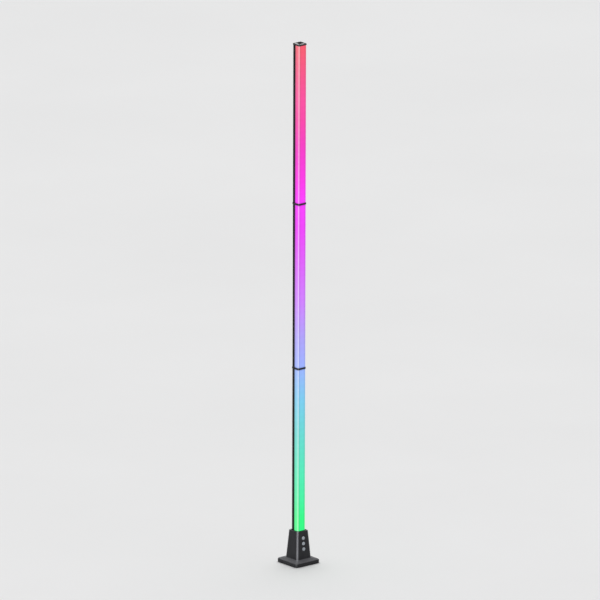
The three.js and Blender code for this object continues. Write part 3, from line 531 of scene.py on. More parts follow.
def diffuser_look():
    """Milky extruded plastic, lit from inside by the strip behind it, with whiter corners that are
    partly a painted highlight and with painted sheen on its sides.
    """
    look = Look("lit_diffuser", Specular_IOR_Level=0.18)
    axes = look.node("ShaderNodeSeparateXYZ", Vector=look.place)
    height = look.math("DIVIDE", axes.outputs["Z"], LAMP_TOP)
    colour = look.ramp(height, *[(z / LAMP_TOP, srgb(code)) for z, code in GLOW])
    facing = look.node("ShaderNodeSeparateXYZ", Vector=look.surface)
    sideways = look.math("ABSOLUTE", facing.outputs["X"])
    across = look.math("ABSOLUTE", axes.outputs["X"])
    along = look.math("ABSOLUTE", axes.outputs["Y"])
    off_corner = look.math("ABSOLUTE", look.math("SUBTRACT", across, along))
    corner = look.math("POWER", look.between(off_corner, 1.0, 0.0, 0.0, CORNER_REACH), 2.0)
    # The corners scatter the strip's light whiter through more of the wall, and they carry a painted
    # highlight as well.
    painted_highlight_and_glow_white = look.math("MULTIPLY", corner, CORNER_GLOW_AND_HIGHLIGHT)
    # Painted sheen: the side faces mix white into their glow.
    painted_side_sheen = look.ramp(height, *[(z / LAMP_TOP, grey(level)) for z, level in PAINTED_SIDE_SHEEN])
    painted_highlight_and_glow_white = look.math("ADD", painted_highlight_and_glow_white, look.math("MULTIPLY", sideways, painted_side_sheen))
    glow = look.blend(painted_highlight_and_glow_white, colour, grey(1.0))
    # Each light of the strip shows as a very faint band. The seam, the edges of the front face
    # and the ends beside the joints are further from the strip, and so darker.
    turns = look.math("MULTIPLY", axes.outputs["Z"], 2 * math.pi / LED_PITCH)
    bands = look.math("MULTIPLY", look.math("SINE", turns), 0.01)
    cloud = look.between(look.noise(look.stretched(300, 300, 20), 3.0), 0.93, 0.98)
    level = look.math("ADD", cloud, bands)
    seam = look.between(axes.outputs["Y"], 1.0, SEAM_SHADE, -0.3 * TUBE_HALF, SEAM_Y)
    level = look.math("MULTIPLY", level, seam)
    edge = look.between(across, 1.0, EDGE_SHADE, 0.4 * TUBE_HALF, 0.78 * TUBE_HALF)
    edge = look.math("MAXIMUM", edge, look.between(sideways, 0.0, 1.0, 0.0, 0.5))
    level = look.math("MULTIPLY", level, edge)
    for ring in RING_HEIGHTS:
        away = look.math("ABSOLUTE", look.math("SUBTRACT", axes.outputs["Z"], ring))
        level = look.math("MULTIPLY", level, look.between(away, JOINT_SHADE, 1.0, 2.5 * MM, 6 * MM))
    look.drive("Emission Color", look.blend(1.0, glow, level, "MULTIPLY"))
    look.drive("Emission Strength", 1.0)
    look.drive("Base Color", look.blend(1.0, glow, grey(0.04), "MULTIPLY"))
    lines = look.noise(look.stretched(1800, 1800, 6), 2.0)
    look.drive("Roughness", look.between(lines, 0.32, 0.44))
    look.bump(lines, 0.006 * MM, 0.4)
    return look.material


def turned_steel(name, dark, light, roughness):
    """Turned metal with fine tool marks. Returns its Look, for what needs a second colour."""
    look = Look(name, Metallic=1.0)
    rings = look.noise(look.stretched(3000, 3000, 600), 3.0)
    look.base = look.ramp(rings, (0.3, dark), (0.7, light))
    look.drive("Base Color", look.base)
    look.drive("Roughness", look.between(rings, roughness - 0.08, roughness + 0.08))
    look.bump(rings, 0.01 * MM, 0.4)
    return look


MASK_MARGIN = 0.05 * MM  # keeps a change of material off the edge that it follows


def set_in_plastic(look, metal):
    """Where the mask called metal is 0, the surface is black moulded plastic instead."""
    look.drive("Base Color", look.blend(metal, srgb("141416"), look.base))
    look.drive("Metallic", metal)
    return look.material


def contact_brass():
    """Brass pins and pads in a black block: the mask is the distance from the nearest pin."""
    look = turned_steel("contact_brass", srgb("c79a3c"), srgb("d9b058"), 0.25)
    axes = look.node("ShaderNodeSeparateXYZ", Vector=look.place)
    squares = []
    for axis in ("X", "Y"):
        off = look.math("SUBTRACT", look.math("ABSOLUTE", axes.outputs[axis]), CONTACT_SPREAD)
        squares.append(look.math("POWER", look.math("ABSOLUTE", off), 2.0))
    distance = look.math("SQRT", look.math("ADD", *squares))
    return set_in_plastic(look, look.math("LESS_THAN", distance, PAD[0] + MASK_MARGIN))


def inlet_steel():
    """A bright drawn shell round a black tongue."""
    look = turned_steel("inlet_steel", srgb("b4b6b8"), srgb("c8cacc"), 0.28)
    axes = look.node("ShaderNodeSeparateXYZ", Vector=look.place)
    up = look.math("ABSOLUTE", look.math("SUBTRACT", axes.outputs["Z"], INLET_Z))
    across = look.math("ABSOLUTE", axes.outputs["X"])
    above = look.math("GREATER_THAN", up, INLET_TONGUE.z + MASK_MARGIN)
    beside = look.math("GREATER_THAN", across, INLET_TONGUE.x + MASK_MARGIN)
    return set_in_plastic(look, look.math("MAXIMUM", above, beside))


def circuit_board():
    """Green solder mask over copper tracks."""
    look = Look("circuit_board", Specular_IOR_Level=0.6)
    colours = {"Color1": srgb("0f4a2b"), "Color2": srgb("125231"), "Mortar": srgb("2c8052")}
    place = look.stretched(180, 180, 180)
    tracks = look.node("ShaderNodeTexBrick", Vector=place, Mortar_Size=0.04, **colours)
    look.drive("Base Color", tracks.outputs["Color"])
    weave = look.noise(look.stretched(900, 900, 900), 2.0)
    look.drive("Roughness", look.between(weave, 0.3, 0.45))
    look.bump(tracks.outputs["Fac"], -0.03 * MM, 0.5)
    return look.material


def light_strip():
    """White flexible tape: its coating is slightly mottled, with fine scratches along it."""
    look = Look("light_strip")
    mottle = look.noise(look.stretched(500, 500, 500), 3.0)
    scratch = look.noise(look.stretched(2500, 2500, 20), 2.0)
    look.drive("Base Color", look.ramp(mottle, (0.3, srgb("dcdcd2")), (0.7, srgb("efefe8"))))
    look.drive("Roughness", look.between(scratch, 0.35, 0.55))
    look.bump(scratch, 0.01 * MM, 0.3)
    return look.material


def cable_jacket():
    return moulded("cable_jacket", srgb("8c1414"), srgb("a01c1c"), 0.5, 0.4 * MM, 0.01 * MM)


def pale_floor():
    look = Look("pale_floor", Specular_IOR_Level=0.15)
    cloud = look.noise(look.stretched(1.5, 1.5, 1.5), 3.0)
    look.drive("Base Color", look.ramp(cloud, (0.3, grey(0.80)), (0.7, grey(0.82))))
    look.drive("Roughness", look.between(cloud, 0.7, 0.8))
    return look.material


MATERIALS = {
    "base_plastic": base_plastic(),
    "button_plastic": button_plastic(),
    "inner_plastic": inner_plastic(),
    "rubber": rubber(),
    "gloss_trim": gloss_black(),
    "black_aluminium": anodised(),
    "weight_steel": turned_steel("weight_steel", srgb("7d7f82"), srgb("96989b"), 0.42).material,
    "inlet_steel": inlet_steel(),
    "screw_steel": turned_steel("black_screw", srgb("2a2b2e"), srgb("3a3b3f"), 0.36).material,
    "circuit_board": circuit_board(),
    "chip_plastic": moulded("chip_plastic", srgb("141416"), srgb("1c1c1f"), 0.5, 0.2 * MM, 0.01 * MM),
    "white_plastic": light_strip(),
    "lead_rubber": cable_jacket(),
    "contact_brass": contact_brass(),
}
MATERIALS.update(dict.fromkeys([f"diffuser_{section}" for section in SECTIONS], diffuser_look()))


def dress_cad_nodes():
    """Gives every CAD node the material of its slot."""
    for entry in frame["record"]["subparts"]:
        node = frame["nodes"][entry["node"]]
        node.data.materials.clear()
        node.data.materials.append(MATERIALS[entry["material_slot"]])


# ---- base

# Turns a solid made about Z so that its Z axis points into the base, square to the front face.
INTO_FACE = Matrix.Rotation(-FACE_TILT, 4, "X") @ Matrix.Rotation(math.radians(-90), 4, "X")


def on_face(z):
    """The frame of a button: its origin on the face at height z, its Z axis into the base."""
    return Matrix.Translation(Vector((0, -post_half(z), z))) @ INTO_FACE


def mid_height(node):
    low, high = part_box(node)
    return (low.z + high.z) / 2


def housing_rings():
    """The shell's section, up the outside, over the rim, down the mouth and down the inside."""
    shoulder_centre = (FOOT_HALF - SHOULDER_RADIUS, SHOULDER_TOP - SHOULDER_RADIUS)
    foot_z, foot_half = POST_FOOT
    fillet_radius, fillet_out, fillet_up = POST_FILLET
    rim_centre = (post_half(BASE_TOP) - RIM_RADIUS, BASE_TOP - RIM_RADIUS)
    outside = [
        (FOOT_HALF - FOOT_EDGE, SHELL_BOTTOM),
        (FOOT_HALF - 0.3 * FOOT_EDGE, SHELL_BOTTOM + 0.3 * FOOT_EDGE),
        (FOOT_HALF, SHELL_BOTTOM + FOOT_EDGE),
        *arc(shoulder_centre, SHOULDER_RADIUS, 0, 82, 7),
        *arc((foot_half + fillet_out, foot_z + fillet_up), fillet_radius, 250, 186, 6),
        *arc(rim_centre, RIM_RADIUS, 4, 90, 6),
    ]
    mouth_floor = BASE_TOP - MOUTH_DEPTH
    # Under the foot the inside follows the outside at about a wall's thickness.
    inside = [
        (SPIGOT_HOLE_HALF, mouth_floor - RIM_BREAK),
        (SPIGOT_HOLE_HALF, SHELL_ROOF),
        (post_half(SHELL_ROOF) - SHELL_WALL, SHELL_ROOF),
        (post_half(foot_z) - SHELL_WALL, foot_z),
        (foot_half + 1.4 * MM, 11.4 * MM),
        (FOOT_HALF - SHOULDER_RADIUS - FLANGE_WALL, 8.2 * MM),
        (FOOT_HALF - FLANGE_WALL, 6.4 * MM),
        (FOOT_HALF - FLANGE_WALL, SHELL_BOTTOM),
    ]
    gasket_edge = GASKET_HIGH.x - TUBE_HALF + GAP
    mouth = [
        tube_ring(gasket_edge + RIM_BREAK, BASE_TOP),
        tube_ring(gasket_edge, BASE_TOP - RIM_BREAK),
        tube_ring(gasket_edge, GASKET_LOW.z - GAP),
        tube_ring(GAP, GASKET_LOW.z - GAP),
        tube_ring(GAP, mouth_floor),
        even_ring(SPIGOT_HOLE_HALF + RIM_BREAK, mouth_floor, 1.5 * MM),
    ]
    return [
        *[even_ring(half, z) for half, z in outside],
        *mouth,
        *[even_ring(half, z, 1.2 * MM if half < 10 * MM else None) for half, z in inside],
    ]


def button_bore(name):
    """A round hole through the front wall with a small chamfer at the face."""
    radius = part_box(f"{name}_button")[1].x - BUTTON_FLANGE + GAP
    profile = [
        (0, -CUT),
        (radius + BORE_CHAMFER, -CUT),
        (radius + BORE_CHAMFER, 0),
        (radius, BORE_CHAMFER),
        (radius, SHELL_WALL + CUT),
        (0, SHELL_WALL + CUT),
    ]
    return lathe(f"{name}_bore", profile, on_face(mid_height(f"{name}_button")), 48)


def stadium(half_width, half_height):
    """A slot outline of (x, z) points with round ends."""
    centre = half_width - half_height
    right = arc((centre, 0), half_height, -90, 90, CORNER_STEPS)
    return right + arc((-centre, 0), half_height, 90, 270, CORNER_STEPS)


def inlet_rings(sections):
    """Rings of the inlet's outline, for sections given as how much it has grown and its Y."""
    rings = []
    for grow, y in sections:
        outline = stadium(INLET_HIGH.x + grow, INLET_HALF_HEIGHT + grow)
        rings.append([Vector((x, y, INLET_Z + up)) for x, up in outline])
    return rings


def base_housing():
    housing = loft("base_housing", housing_rings(), endless=True)
    cutters = [button_bore(name) for name in BUTTONS]
    rear = post_half(INLET_Z)
    cutters.append(loft("inlet_hole", inlet_rings([(GAP, rear - 4 * MM), (GAP, rear + 2 * MM)])))
    carve(housing, cutters)
    finish_piece(housing, "base", "base_shell", "base_plastic")


def mouth_gasket():
    """A rubber ring with a rounded lip, in the mouth of the base."""
    inner = GASKET_HIGH.x - TUBE_HALF - 1.5 * MM
    outer = GASKET_HIGH.x - TUBE_HALF
    low, high = GASKET_LOW.z, GASKET_HIGH.z
    lip = 0.5 * MM
    rings = [tube_ring(outer, low), tube_ring(outer, high - lip)]
    rings += [tube_ring(across, up) for across, up in arc((outer - lip, high - lip), lip, 20, 90, 3)]
    rings += [tube_ring(across, up) for across, up in arc((inner + lip, high - lip), lip, 90, 160, 3)]
    rings += [tube_ring(inner, high - lip), tube_ring(inner, low)]
    gasket = loft("mouth_gasket", rings, endless=True)
    finish_piece(gasket, "base", "socket_gasket", "rubber", 38)


def push_button(name):
    """A dished cap in its bore, with its retaining flange and stem behind the wall."""
    node = f"{name}_button"
    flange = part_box(node)[1].x
    radius = flange - BUTTON_FLANGE
    stem, stem_end = BUTTON_STEM
    dish = [(0, DISH_DEPTH - BUTTON_PROUD)]
    for share in (0.2, 0.4, 0.6, DISH_EDGE):
        dish.append((radius * share, DISH_CURVE * (1 - share / DISH_EDGE) ** 2 - BUTTON_PROUD))
    profile = [
        *dish,
        *arc((radius - BUTTON_EDGE, BUTTON_EDGE - BUTTON_PROUD), BUTTON_EDGE, -80, 0, 5),
        (radius, SHELL_WALL + GAP),
        (flange, SHELL_WALL + GAP),
        (flange, BUTTON_FLANGE_END),
        (stem, BUTTON_FLANGE_END),
        (stem, stem_end),
        (0, stem_end),
    ]
    cap = lathe(f"{name}_cap", profile, on_face(mid_height(f"{name}_button")), 64)
    finish_piece(cap, f"{name}_button_body", node, "button_plastic", 40)


def base_socket():
    """The sleeve under the base's mouth, which the lower section stands in."""
    low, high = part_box("tube_socket")
    flange_low = high.z - SLEEVE_FLANGE
    sleeve = square_block("mouth_sleeve", SPIGOT_HOLE_HALF + SLEEVE_WALL, low.z, high.z - 0.5 * MM)
    weld(sleeve, [square_block("flange", SLEEVE_FLANGE_HALF, flange_low, high.z, 0.3 * MM)])
    floor = low.z + SLEEVE_FLOOR
    cutters = [
        square_block("well", SPIGOT_HOLE_HALF, floor, high.z + CUT),
        square_block("wireway", WIREWAY_HALF + GAP, low.z - CUT, floor + CUT),
    ]
    for screw in ("socket_screw_1", "socket_screw_2"):
        screw_low, screw_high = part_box(screw)
        place = Matrix.Translation(((screw_low.x + screw_high.x) / 2, 0, 0))
        cutters.append(cylinder("hole", SOCKET_SCREW_HOLE, flange_low - CUT, high.z + CUT, place))
    carve(sleeve, cutters)
    finish_piece(sleeve, "base", "tube_socket", "inner_plastic")


def upright_at(node):
    """A frame at the foot of an upright round part, on its axis."""
    low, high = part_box(node)
    return Matrix.Translation(((low.x + high.x) / 2, (low.y + high.y) / 2, low.z))


def foot_pad(node):
    """A rubber disc with a rounded rim and two grip grooves round its underside."""
    low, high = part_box(node)
    radius = (high.x - low.x) / 2
    depth, half = 0.3 * MM, 0.35 * MM
    underside = [(0, 0)]
    for groove in (radius * 0.4, radius * 0.7):
        underside += [(groove - half, 0), (groove - half / 2, depth)]
        underside += [(groove + half / 2, depth), (groove + half, 0)]
    side = softened(0, high.z - low.z, radius, 0.5 * MM, 4)[:-4]
    profile = [*underside, *side, (radius, high.z - low.z), (0, high.z - low.z)]
    pad = lathe(f"{node}_pad", profile, upright_at(node), 56)
    finish_piece(pad, "base", node, "rubber", 40)


def cover_screw(node):
    """A pan-head screw with a cross recess, point upwards."""
    low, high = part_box(node)
    head, length = (high.x - low.x) / 2, high.z - low.z
    crown = 0.35 * MM
    profile = [
        (0, 0),
        (head * 0.6, 0.06 * MM),
        (head - crown * 0.5, 0.2 * MM),
        (head, crown),
        (head, COVER_SCREW_HEAD),
        (COVER_SCREW_SHANK, COVER_SCREW_HEAD),
        (COVER_SCREW_SHANK, length - 1.0 * MM),
        (0, length),
    ]
    matrix = upright_at(node)
    screw = lathe(f"{node}_fixing", profile, matrix, 40)
    carve(screw, cross_recess(node, head * RECESS_SHARE, 0.6 * MM, matrix))
    finish_piece(screw, "base", node, "screw_steel")


def cover_plate():
    """The plate under the base, with wells for its feet and for its screws' heads."""
    low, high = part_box("bottom_cover")
    below = low.z - CUT
    sides = softened(low.z, high.z, high.x, 0.4 * MM)
    plate = loft("underside_plate", [even_ring(half, z) for half, z in sides])
    cutters = []
    for node in FEET:
        foot_low, foot_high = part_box(node)
        radius = (foot_high.x - foot_low.x) / 2 + GAP
        place = upright_at(node)
        cutters.append(cylinder("well", radius, below, foot_high.z + GAP, place, 56))
    for node in COVER_SCREWS:
        screw_low, screw_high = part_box(node)
        radius = (screw_high.x - screw_low.x) / 2 + GAP
        start = below - screw_low.z
        head_end = COVER_SCREW_HEAD + GAP
        profile = [(0, start), (radius, start), (radius, head_end), (COVER_SCREW_HOLE, head_end)]
        profile += [(COVER_SCREW_HOLE, high.z), (0, high.z)]
        cutters.append(lathe("well", profile, upright_at(node), 40))
    carve(plate, cutters)
    finish_piece(plate, "base", "bottom_cover", "inner_plastic")


def inlet_shell():
    """The power inlet: a drawn steel shell with rolled lips, and a tongue inside it."""
    wall, floor, lip = 0.45 * MM, 1.2 * MM, 0.15 * MM
    front, rear = INLET_LOW.y, INLET_HIGH.y
    sections = (
        (0, front),
        (0, rear - lip),
        (-lip, rear),
        (-wall, rear),
        (-wall, front + floor),
    )
    shell = loft("inlet_shell", inlet_rings(sections))
    tongue = INLET_TONGUE
    x = (-tongue.x, tongue.x)
    y = (front + floor / 2, rear - tongue.y)
    z = (INLET_Z - tongue.z, INLET_Z + tongue.z)
    weld(shell, [soft_block("tongue", x, y, z, 0.3 * MM, 0.1 * MM)])
    finish_piece(shell, "base", "power_inlet", "inlet_steel")


def build_base():
    base_housing()
    mouth_gasket()
    base_socket()
    cover_plate()
    inlet_shell()
    for name in BUTTONS:
        push_button(name)
    for node in FEET:
        foot_pad(node)
    for node in COVER_SCREWS:
        cover_screw(node)


# ---- tube sections


def diffuser_outline():
    """The diffuser's section: a U, open at the back, with a barbed clip on each side."""
    outer = TUBE_HALF
    inner = TUBE_HALF - DIFFUSER_WALL
    seam = SEAM_Y - GAP
    seam_edge = 0.25 * MM
    clip_outer = TUBE_HALF - CHANNEL_WALL - GAP
    clip_inner = clip_outer - CLIP_WALL
    barb, barb_start, barb_end, tip = 0.15 * MM, 1.6 * MM, 0.6 * MM, 0.4 * MM
    centre = (outer - FRONT_CORNER, -outer + FRONT_CORNER)
    right_outside = [
        *arc(centre, FRONT_CORNER, -90, 0, 10),
        (outer, seam - seam_edge),
        (outer - seam_edge, seam),
        (clip_outer, seam),
        (clip_outer + barb, CLIP_END_Y - barb_start),
        (clip_outer, CLIP_END_Y - barb_end),
        (clip_outer - tip, CLIP_END_Y),
        (clip_inner, CLIP_END_Y),
        (clip_inner, seam - DIFFUSER_WALL),
        (inner, seam - DIFFUSER_WALL),
    ]
    right_inside = list(reversed(arc(centre, FRONT_CORNER - DIFFUSER_WALL, -90, 0, 10)))
    # The right half goes back along the outside and forwards inside. The left half mirrors it.
    right = right_outside + right_inside
    left = [(-x, y) for x, y in reversed(right)]
    return right + left


def channel_outline():
    """The channel's section: a U, open at the front, with two grooves down its back."""
    outer = TUBE_HALF
    inner = TUBE_HALF - CHANNEL_WALL
    centre = (outer - BACK_CORNER, outer - BACK_CORNER)
    lip = 0.2 * MM
    groove_x, groove = 6.5 * MM, 0.35 * MM
    right_outside = [
        (inner + lip, SEAM_Y),
        (outer - lip, SEAM_Y),
        (outer, SEAM_Y + lip),
        *arc(centre, BACK_CORNER, 0, 90, 6),
        (groove_x + groove, outer),
        (groove_x, outer - groove),
        (groove_x - groove, outer),
    ]
    left_outside = [(-x, y) for x, y in reversed(right_outside)]
    inside = [(-inner, SEAM_Y + lip), (-inner, inner), (inner, inner), (inner, SEAM_Y + lip)]
    return right_outside + left_outside + inside


# Turns a solid made about Z so that its Z axis points forwards, into the back of the channel.
INTO_BACK = Matrix.Rotation(math.radians(90), 4, "X")


def on_back(z):
    return Matrix.Translation(Vector((0, TUBE_HALF, z))) @ INTO_BACK


def screw_hole(name, z):
    """A countersunk hole through the back of the channel."""
    head, cone_start, cone_end = COUNTERSINK
    profile = [
        (0, -CUT / 2),
        (head, -CUT / 2),
        (head, cone_start),
        (CHANNEL_SCREW_HOLE, cone_end),
        (CHANNEL_SCREW_HOLE, CHANNEL_WALL + CUT),
        (0, CHANNEL_WALL + CUT),
    ]
    return lathe(name, profile, on_back(z), 40)


def build_channel(section):
    node = f"{section}_channel"
    low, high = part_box(node)
    rail = prism(f"{section}_rail", channel_outline(), low.z, high.z)
    heights = [mid_height(f"{section}_{end}_screw") for end in SCREW_ENDS]
    carve(rail, [screw_hole(f"{section}_hole", z) for z in heights])
    body = f"{section}_tube"
    finish_piece(rail, body, node, "black_aluminium")


def build_diffuser(section):
    node = f"{section}_diffuser"
    low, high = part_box(node)
    cover = prism(f"{section}_cover", diffuser_outline(), low.z, high.z)
    slot = f"diffuser_{section}"
    finish_piece(cover, f"{section}_tube", node, slot, 40)


def cross_recess(name, radius, depth, matrix):
    """Two crossed tapering slots, to cut a drive into a screw's head."""
    cutters = []
    for turn in (0, 90):
        bm = bmesh.new()
        rows = []
        for z, reach, width in ((-CUT / 2, radius, 0.22), (depth, radius * 0.35, 0.12)):
            half = radius * width
            corners = ((-reach, -half), (reach, -half), (reach, half), (-reach, half))
            rows.append([bm.verts.new((x, y, z)) for x, y in corners])
        bm.faces.new(list(reversed(rows[0])))
        bm.faces.new(rows[1])
        for i in range(4):
            j = (i + 1) % 4
            bm.faces.new((rows[0][i], rows[0][j], rows[1][j], rows[1][i]))
        bm.transform(matrix @ Matrix.Rotation(math.radians(turn), 4, "Z"))
        cutters.append(mesh_object(f"{name}_slot_{turn}", bm))
    return cutters


def channel_screw(section, end):
    """A countersunk screw with a cross recess, set flush in the back."""
    node = f"{section}_{end}_screw"
    low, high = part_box(node)
    matrix = Matrix.Translation(Vector((0, high.y, mid_height(node)))) @ INTO_BACK
    head = (high.x - low.x) / 2
    length = high.y - low.y
    below_face = 0.03 * MM
    profile = [
        (0, below_face),
        (head - 0.25 * MM, below_face),
        (head, 0.2 * MM),
        (CHANNEL_SCREW_SHANK, 1.2 * MM),
        (CHANNEL_SCREW_SHANK, length - 0.8 * MM),
        (0, length),
    ]
    screw = lathe(f"{section}_{end}_fixing", profile, matrix, 40)
    carve(screw, cross_recess(node, head * 0.62, 0.8 * MM, matrix))
    finish_piece(screw, f"{section}_tube", node, "screw_steel")


def insert_block(low, high):
    """The part of a fitting that fills the end of a tube section."""
    across = (-PLUG_HALF, PLUG_HALF)
    return soft_block("insert", across, (-PLUG_HALF, PLUG_BACK), (low, high), 1.0 * MM, 0.5 * MM)


def fitting_screw_hole(section, end):
    node = f"{section}_{end}_screw"
    low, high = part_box(node)
    depth = high.y - low.y + GAP
    return cylinder("screw_hole", CHANNEL_SCREW_HOLE, 0, depth, on_back(mid_height(node)))


def build_coupler(node, below, above):
    """The glossy ring between two sections, with the plug below it and the spigot above it."""
    low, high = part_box(node)
    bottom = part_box(f"{below}_channel")[1].z + GAP
    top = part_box(f"{above}_channel")[0].z - GAP
    middle = (bottom + top) / 2
    sides = softened(bottom, top, TRIM_OVERHANG, RING_EDGE)
    piece = loft(f"{below}_joint_ring", [tube_ring(across, up) for across, up in sides])
    spigot = square_block("spigot", JOINT_SPIGOT_HALF, middle, high.z, 0.8 * MM)
    weld(piece, [insert_block(low.z, middle), spigot])
    wireway = square_block("wireway", WIREWAY_HALF, low.z - CUT, high.z + CUT)
    carve(piece, [wireway, fitting_screw_hole(below, "top")])
    body = f"{below}_tube"
    finish_piece(piece, body, node, "gloss_trim")


def build_cap():
    """The lid with its raised square, and the plug under it."""
    rim = LAMP_TOP - CAP_BOSS_HEIGHT
    sides = softened(CAP_BOTTOM, rim, TRIM_OVERHANG, CAP_TOP_EDGE, 6)
    rings = [tube_ring(across, up) for across, up in sides]
    rings.append(even_ring(CAP_BOSS_HALF, rim, CAP_BOSS_CORNER))
    inset = CAP_BOSS_HEIGHT
    rings.append(even_ring(CAP_BOSS_HALF - inset, LAMP_TOP, CAP_BOSS_CORNER - inset))
    cap = loft("tube_cap", rings)
    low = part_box("top_cap")[0].z
    weld(cap, [insert_block(low, (CAP_BOTTOM + rim) / 2)])
    wireway = square_block("wireway", WIREWAY_HALF, low - CUT, CAP_BOTTOM - CAP_SKIN)
    carve(cap, [wireway, fitting_screw_hole("upper", "top")])
    finish_piece(cap, "upper_tube", "top_cap", "gloss_trim")


def build_lower_plug():
    """Closes the foot of the lower section, and stands in the base's socket."""
    low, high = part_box("lower_plug")
    bottom = BASE_TOP - MOUTH_DEPTH + GAP
    middle = bottom + PLUG_FLANGE / 2
    sides = softened(bottom, bottom + PLUG_FLANGE, 0, 0.3 * MM)
    plug = loft("foot_plug", [tube_ring(across, up) for across, up in sides])
    spigot = square_block("spigot", BASE_SPIGOT_HALF, low.z, middle, 0.8 * MM)
    weld(plug, [insert_block(middle, high.z), spigot])
    wireway = square_block("wireway", WIREWAY_HALF, low.z - CUT, high.z + CUT)
    carve(plug, [wireway, fitting_screw_hole("lower", "bottom")])
    finish_piece(plug, "lower_tube", "lower_plug", "inner_plastic")


def build_socket(section):
    """The fitting in the foot of a section, which the spigot below it enters."""
    node = f"{section}_socket"
    low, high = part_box(node)
    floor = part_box(f"{node}_contacts")[0].z + PIN[1]
    socket = insert_block(low.z, high.z)
    socket.name = f"{section}_foot_socket"
    recess = square_block("recess", JOINT_SPIGOT_HALF + GAP, low.z - CUT, floor, 0.2 * MM)
    wireway = square_block("wireway", WIREWAY_HALF + GAP, floor - CUT, high.z + CUT)
    carve(socket, [recess, wireway, fitting_screw_hole(section, "bottom")])
    finish_piece(socket, f"{section}_tube", node, "inner_plastic")


def build_contacts(node, body, contact, upwards):
    """A block of four pins or pads, which stand out from its top or from its bottom."""
    low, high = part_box(node)
    radius, reach = contact
    block_low = low.z if upwards else low.z + reach
    block_high = high.z - reach if upwards else high.z
    block = square_block(f"{node}_block", high.x, block_low, block_high, 0.2 * MM)
    tip = min(radius, reach) * 0.6
    profile = [(0, low.z), *softened(low.z, high.z, radius, tip, 2), (0, high.z)]
    pins = []
    for x in (-CONTACT_SPREAD, CONTACT_SPREAD):
        for y in (-CONTACT_SPREAD, CONTACT_SPREAD):
            pins.append(lathe("pin", profile, Matrix.Translation((x, y, 0)), 20))
    weld(block, pins)
    finish_piece(block, body, node, "contact_brass")


def build_fittings():
    build_coupler("lower_coupler", "lower", "middle")
    build_coupler("upper_coupler", "middle", "upper")
    build_cap()
    build_lower_plug()
    build_contacts("socket_contacts", "base", PIN, True)
    build_contacts("lower_plug_contacts", "lower_tube", PAD, False)
    build_contacts("lower_coupler_contacts", "lower_tube", PAD, True)
    build_contacts("upper_coupler_contacts", "middle_tube", PAD, True)
    for section in SECTIONS[1:]:
        build_socket(section)
        build_contacts(f"{section}_socket_contacts", f"{section}_tube", PIN, False)


def build_sections():
    for section in SECTIONS:
        build_channel(section)
        build_diffuser(section)
        for end in SCREW_ENDS:
            channel_screw(section, end)


# ---- studio


def build_floor():
    """A floor 30 m across."""
    bm = bmesh.new()
    bmesh.ops.create_grid(bm, x_segments=12, y_segments=12, size=15)
    floor = mesh_object("floor", bm)
    floor.data.materials.append(pale_floor())
    return floor


def area_light(name, place, aim, width, height, radiance, floor):
    """A softbox given by its radiance. It lights the object but not the floor."""
    data = bpy.data.lights.new(name, "AREA")
    data.shape = "RECTANGLE"
    data.size = width
    data.size_y = height
    data.energy = radiance * math.pi * width * height
    light = bpy.data.objects.new(name, data)
    light.location = place
    light.rotation_euler = (Vector(aim) - Vector(place)).to_track_quat("-Z", "Y").to_euler()
    light.visible_camera = False
    bpy.context.scene.collection.objects.link(light)
    receivers = bpy.data.collections.new(f"{name}_receivers")
    receivers.objects.link(floor)
    receivers.collection_objects[0].light_linking.link_state = "EXCLUDE"
    light.light_linking.receiver_collection = receivers


def sky_light(name, direction, irradiance, angle):
    """A very soft light from a direction, the same all over the floor."""
    data = bpy.data.lights.new(name, "SUN")
    data.energy = irradiance
    data.angle = math.radians(angle)
    light = bpy.data.objects.new(name, data)
    light.rotation_euler = Vector(direction).to_track_quat("Z", "Y").to_euler()
    bpy.context.scene.collection.objects.link(light)


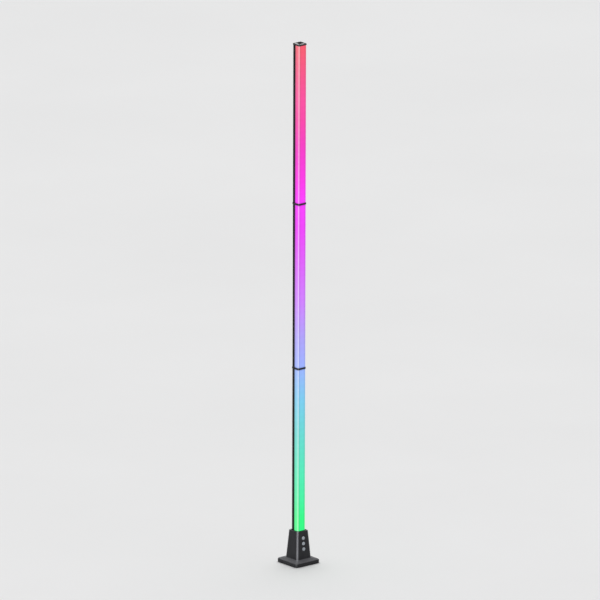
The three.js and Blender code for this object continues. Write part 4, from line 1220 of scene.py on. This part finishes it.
def pale_room():
    """The room past the floor's edge: pale to look at, and dim as a light."""
    world = bpy.data.worlds.new("studio")
    world.use_nodes = True
    tree = world.node_tree
    seen = tree.nodes["Background"]
    seen.inputs["Color"].default_value = (0.80, 0.80, 0.79, 1)
    dim = tree.nodes.new("ShaderNodeBackground")
    dim.inputs["Color"].default_value = (0.97, 0.98, 1.0, 1)
    dim.inputs["Strength"].default_value = 0.12
    path = tree.nodes.new("ShaderNodeLightPath")
    chosen = tree.nodes.new("ShaderNodeMixShader")
    tree.links.new(path.outputs["Is Camera Ray"], chosen.inputs[0])
    tree.links.new(dim.outputs[0], chosen.inputs[1])
    tree.links.new(seen.outputs[0], chosen.inputs[2])
    tree.links.new(chosen.outputs[0], tree.nodes["World Output"].inputs["Surface"])
    return world


def build_lights(floor):
    # Two upright softboxes stand 1 m from the lamp, at an azimuth and with a radiance.
    aim = Vector((0, 0, 0.68))
    for name, azimuth, radiance in (("key", -50.5, 8), ("rear_fill", 176, 1)):
        turn = math.radians(azimuth)
        place = aim + Vector((math.sin(turn), -math.cos(turn), 0))
        area_light(name, place, aim, 0.6, 1.3, radiance, floor)
    # Three square ones shine off the chamfers and the corner of the cap's raised square.
    cap = Vector((0, 0, LAMP_TOP))
    distance, radiance = 2.6, 18
    boxes = (
        ("rear_box", 0.5, (-0.284, 0.740, 0.610)),
        ("side_box", 0.5, (0.610, -0.284, 0.740)),
        ("top_box", 0.9, (-0.266, -0.136, 0.954)),
    )
    for name, size, direction in boxes:
        area_light(name, cap + distance * Vector(direction), cap, size, size, radiance, floor)
    sky_light("overhead", (0.25, 0.34, 0.906), 3.0, 76)
    bpy.context.scene.world = pale_room()
    bpy.context.scene.view_settings.view_transform = "Standard"


def build_camera():
    """A very long lens from far away, since the photo shows no perspective."""
    azimuth, elevation, roll = (math.radians(angle) for angle in (-39.5, 16.5, 0.16))
    distance = 60.0
    field = 1.5512  # width of the view at the lamp
    off_centre = 2.25 * MM
    level_back = Vector((math.sin(azimuth), -math.cos(azimuth), 0))
    back = level_back * math.cos(elevation) + Vector((0, 0, math.sin(elevation)))
    to_right = Vector((math.cos(azimuth), math.sin(azimuth), 0))
    aim = Vector((0, 0, 0.709)) + to_right * off_centre
    data = bpy.data.cameras.new("camera")
    data.sensor_width = 36
    data.lens = data.sensor_width * distance / field
    data.clip_end = 500
    camera = bpy.data.objects.new("camera", data)
    camera.location = aim + back * distance
    level = back.to_track_quat("Z", "Y").to_matrix().to_4x4()
    camera.rotation_euler = (level @ Matrix.Rotation(roll, 4, "Z")).to_euler()
    bpy.context.scene.collection.objects.link(camera)
    bpy.context.scene.camera = camera


build_camera()
dress_cad_nodes()
build_base()
build_sections()
build_fittings()
build_lights(build_floor())
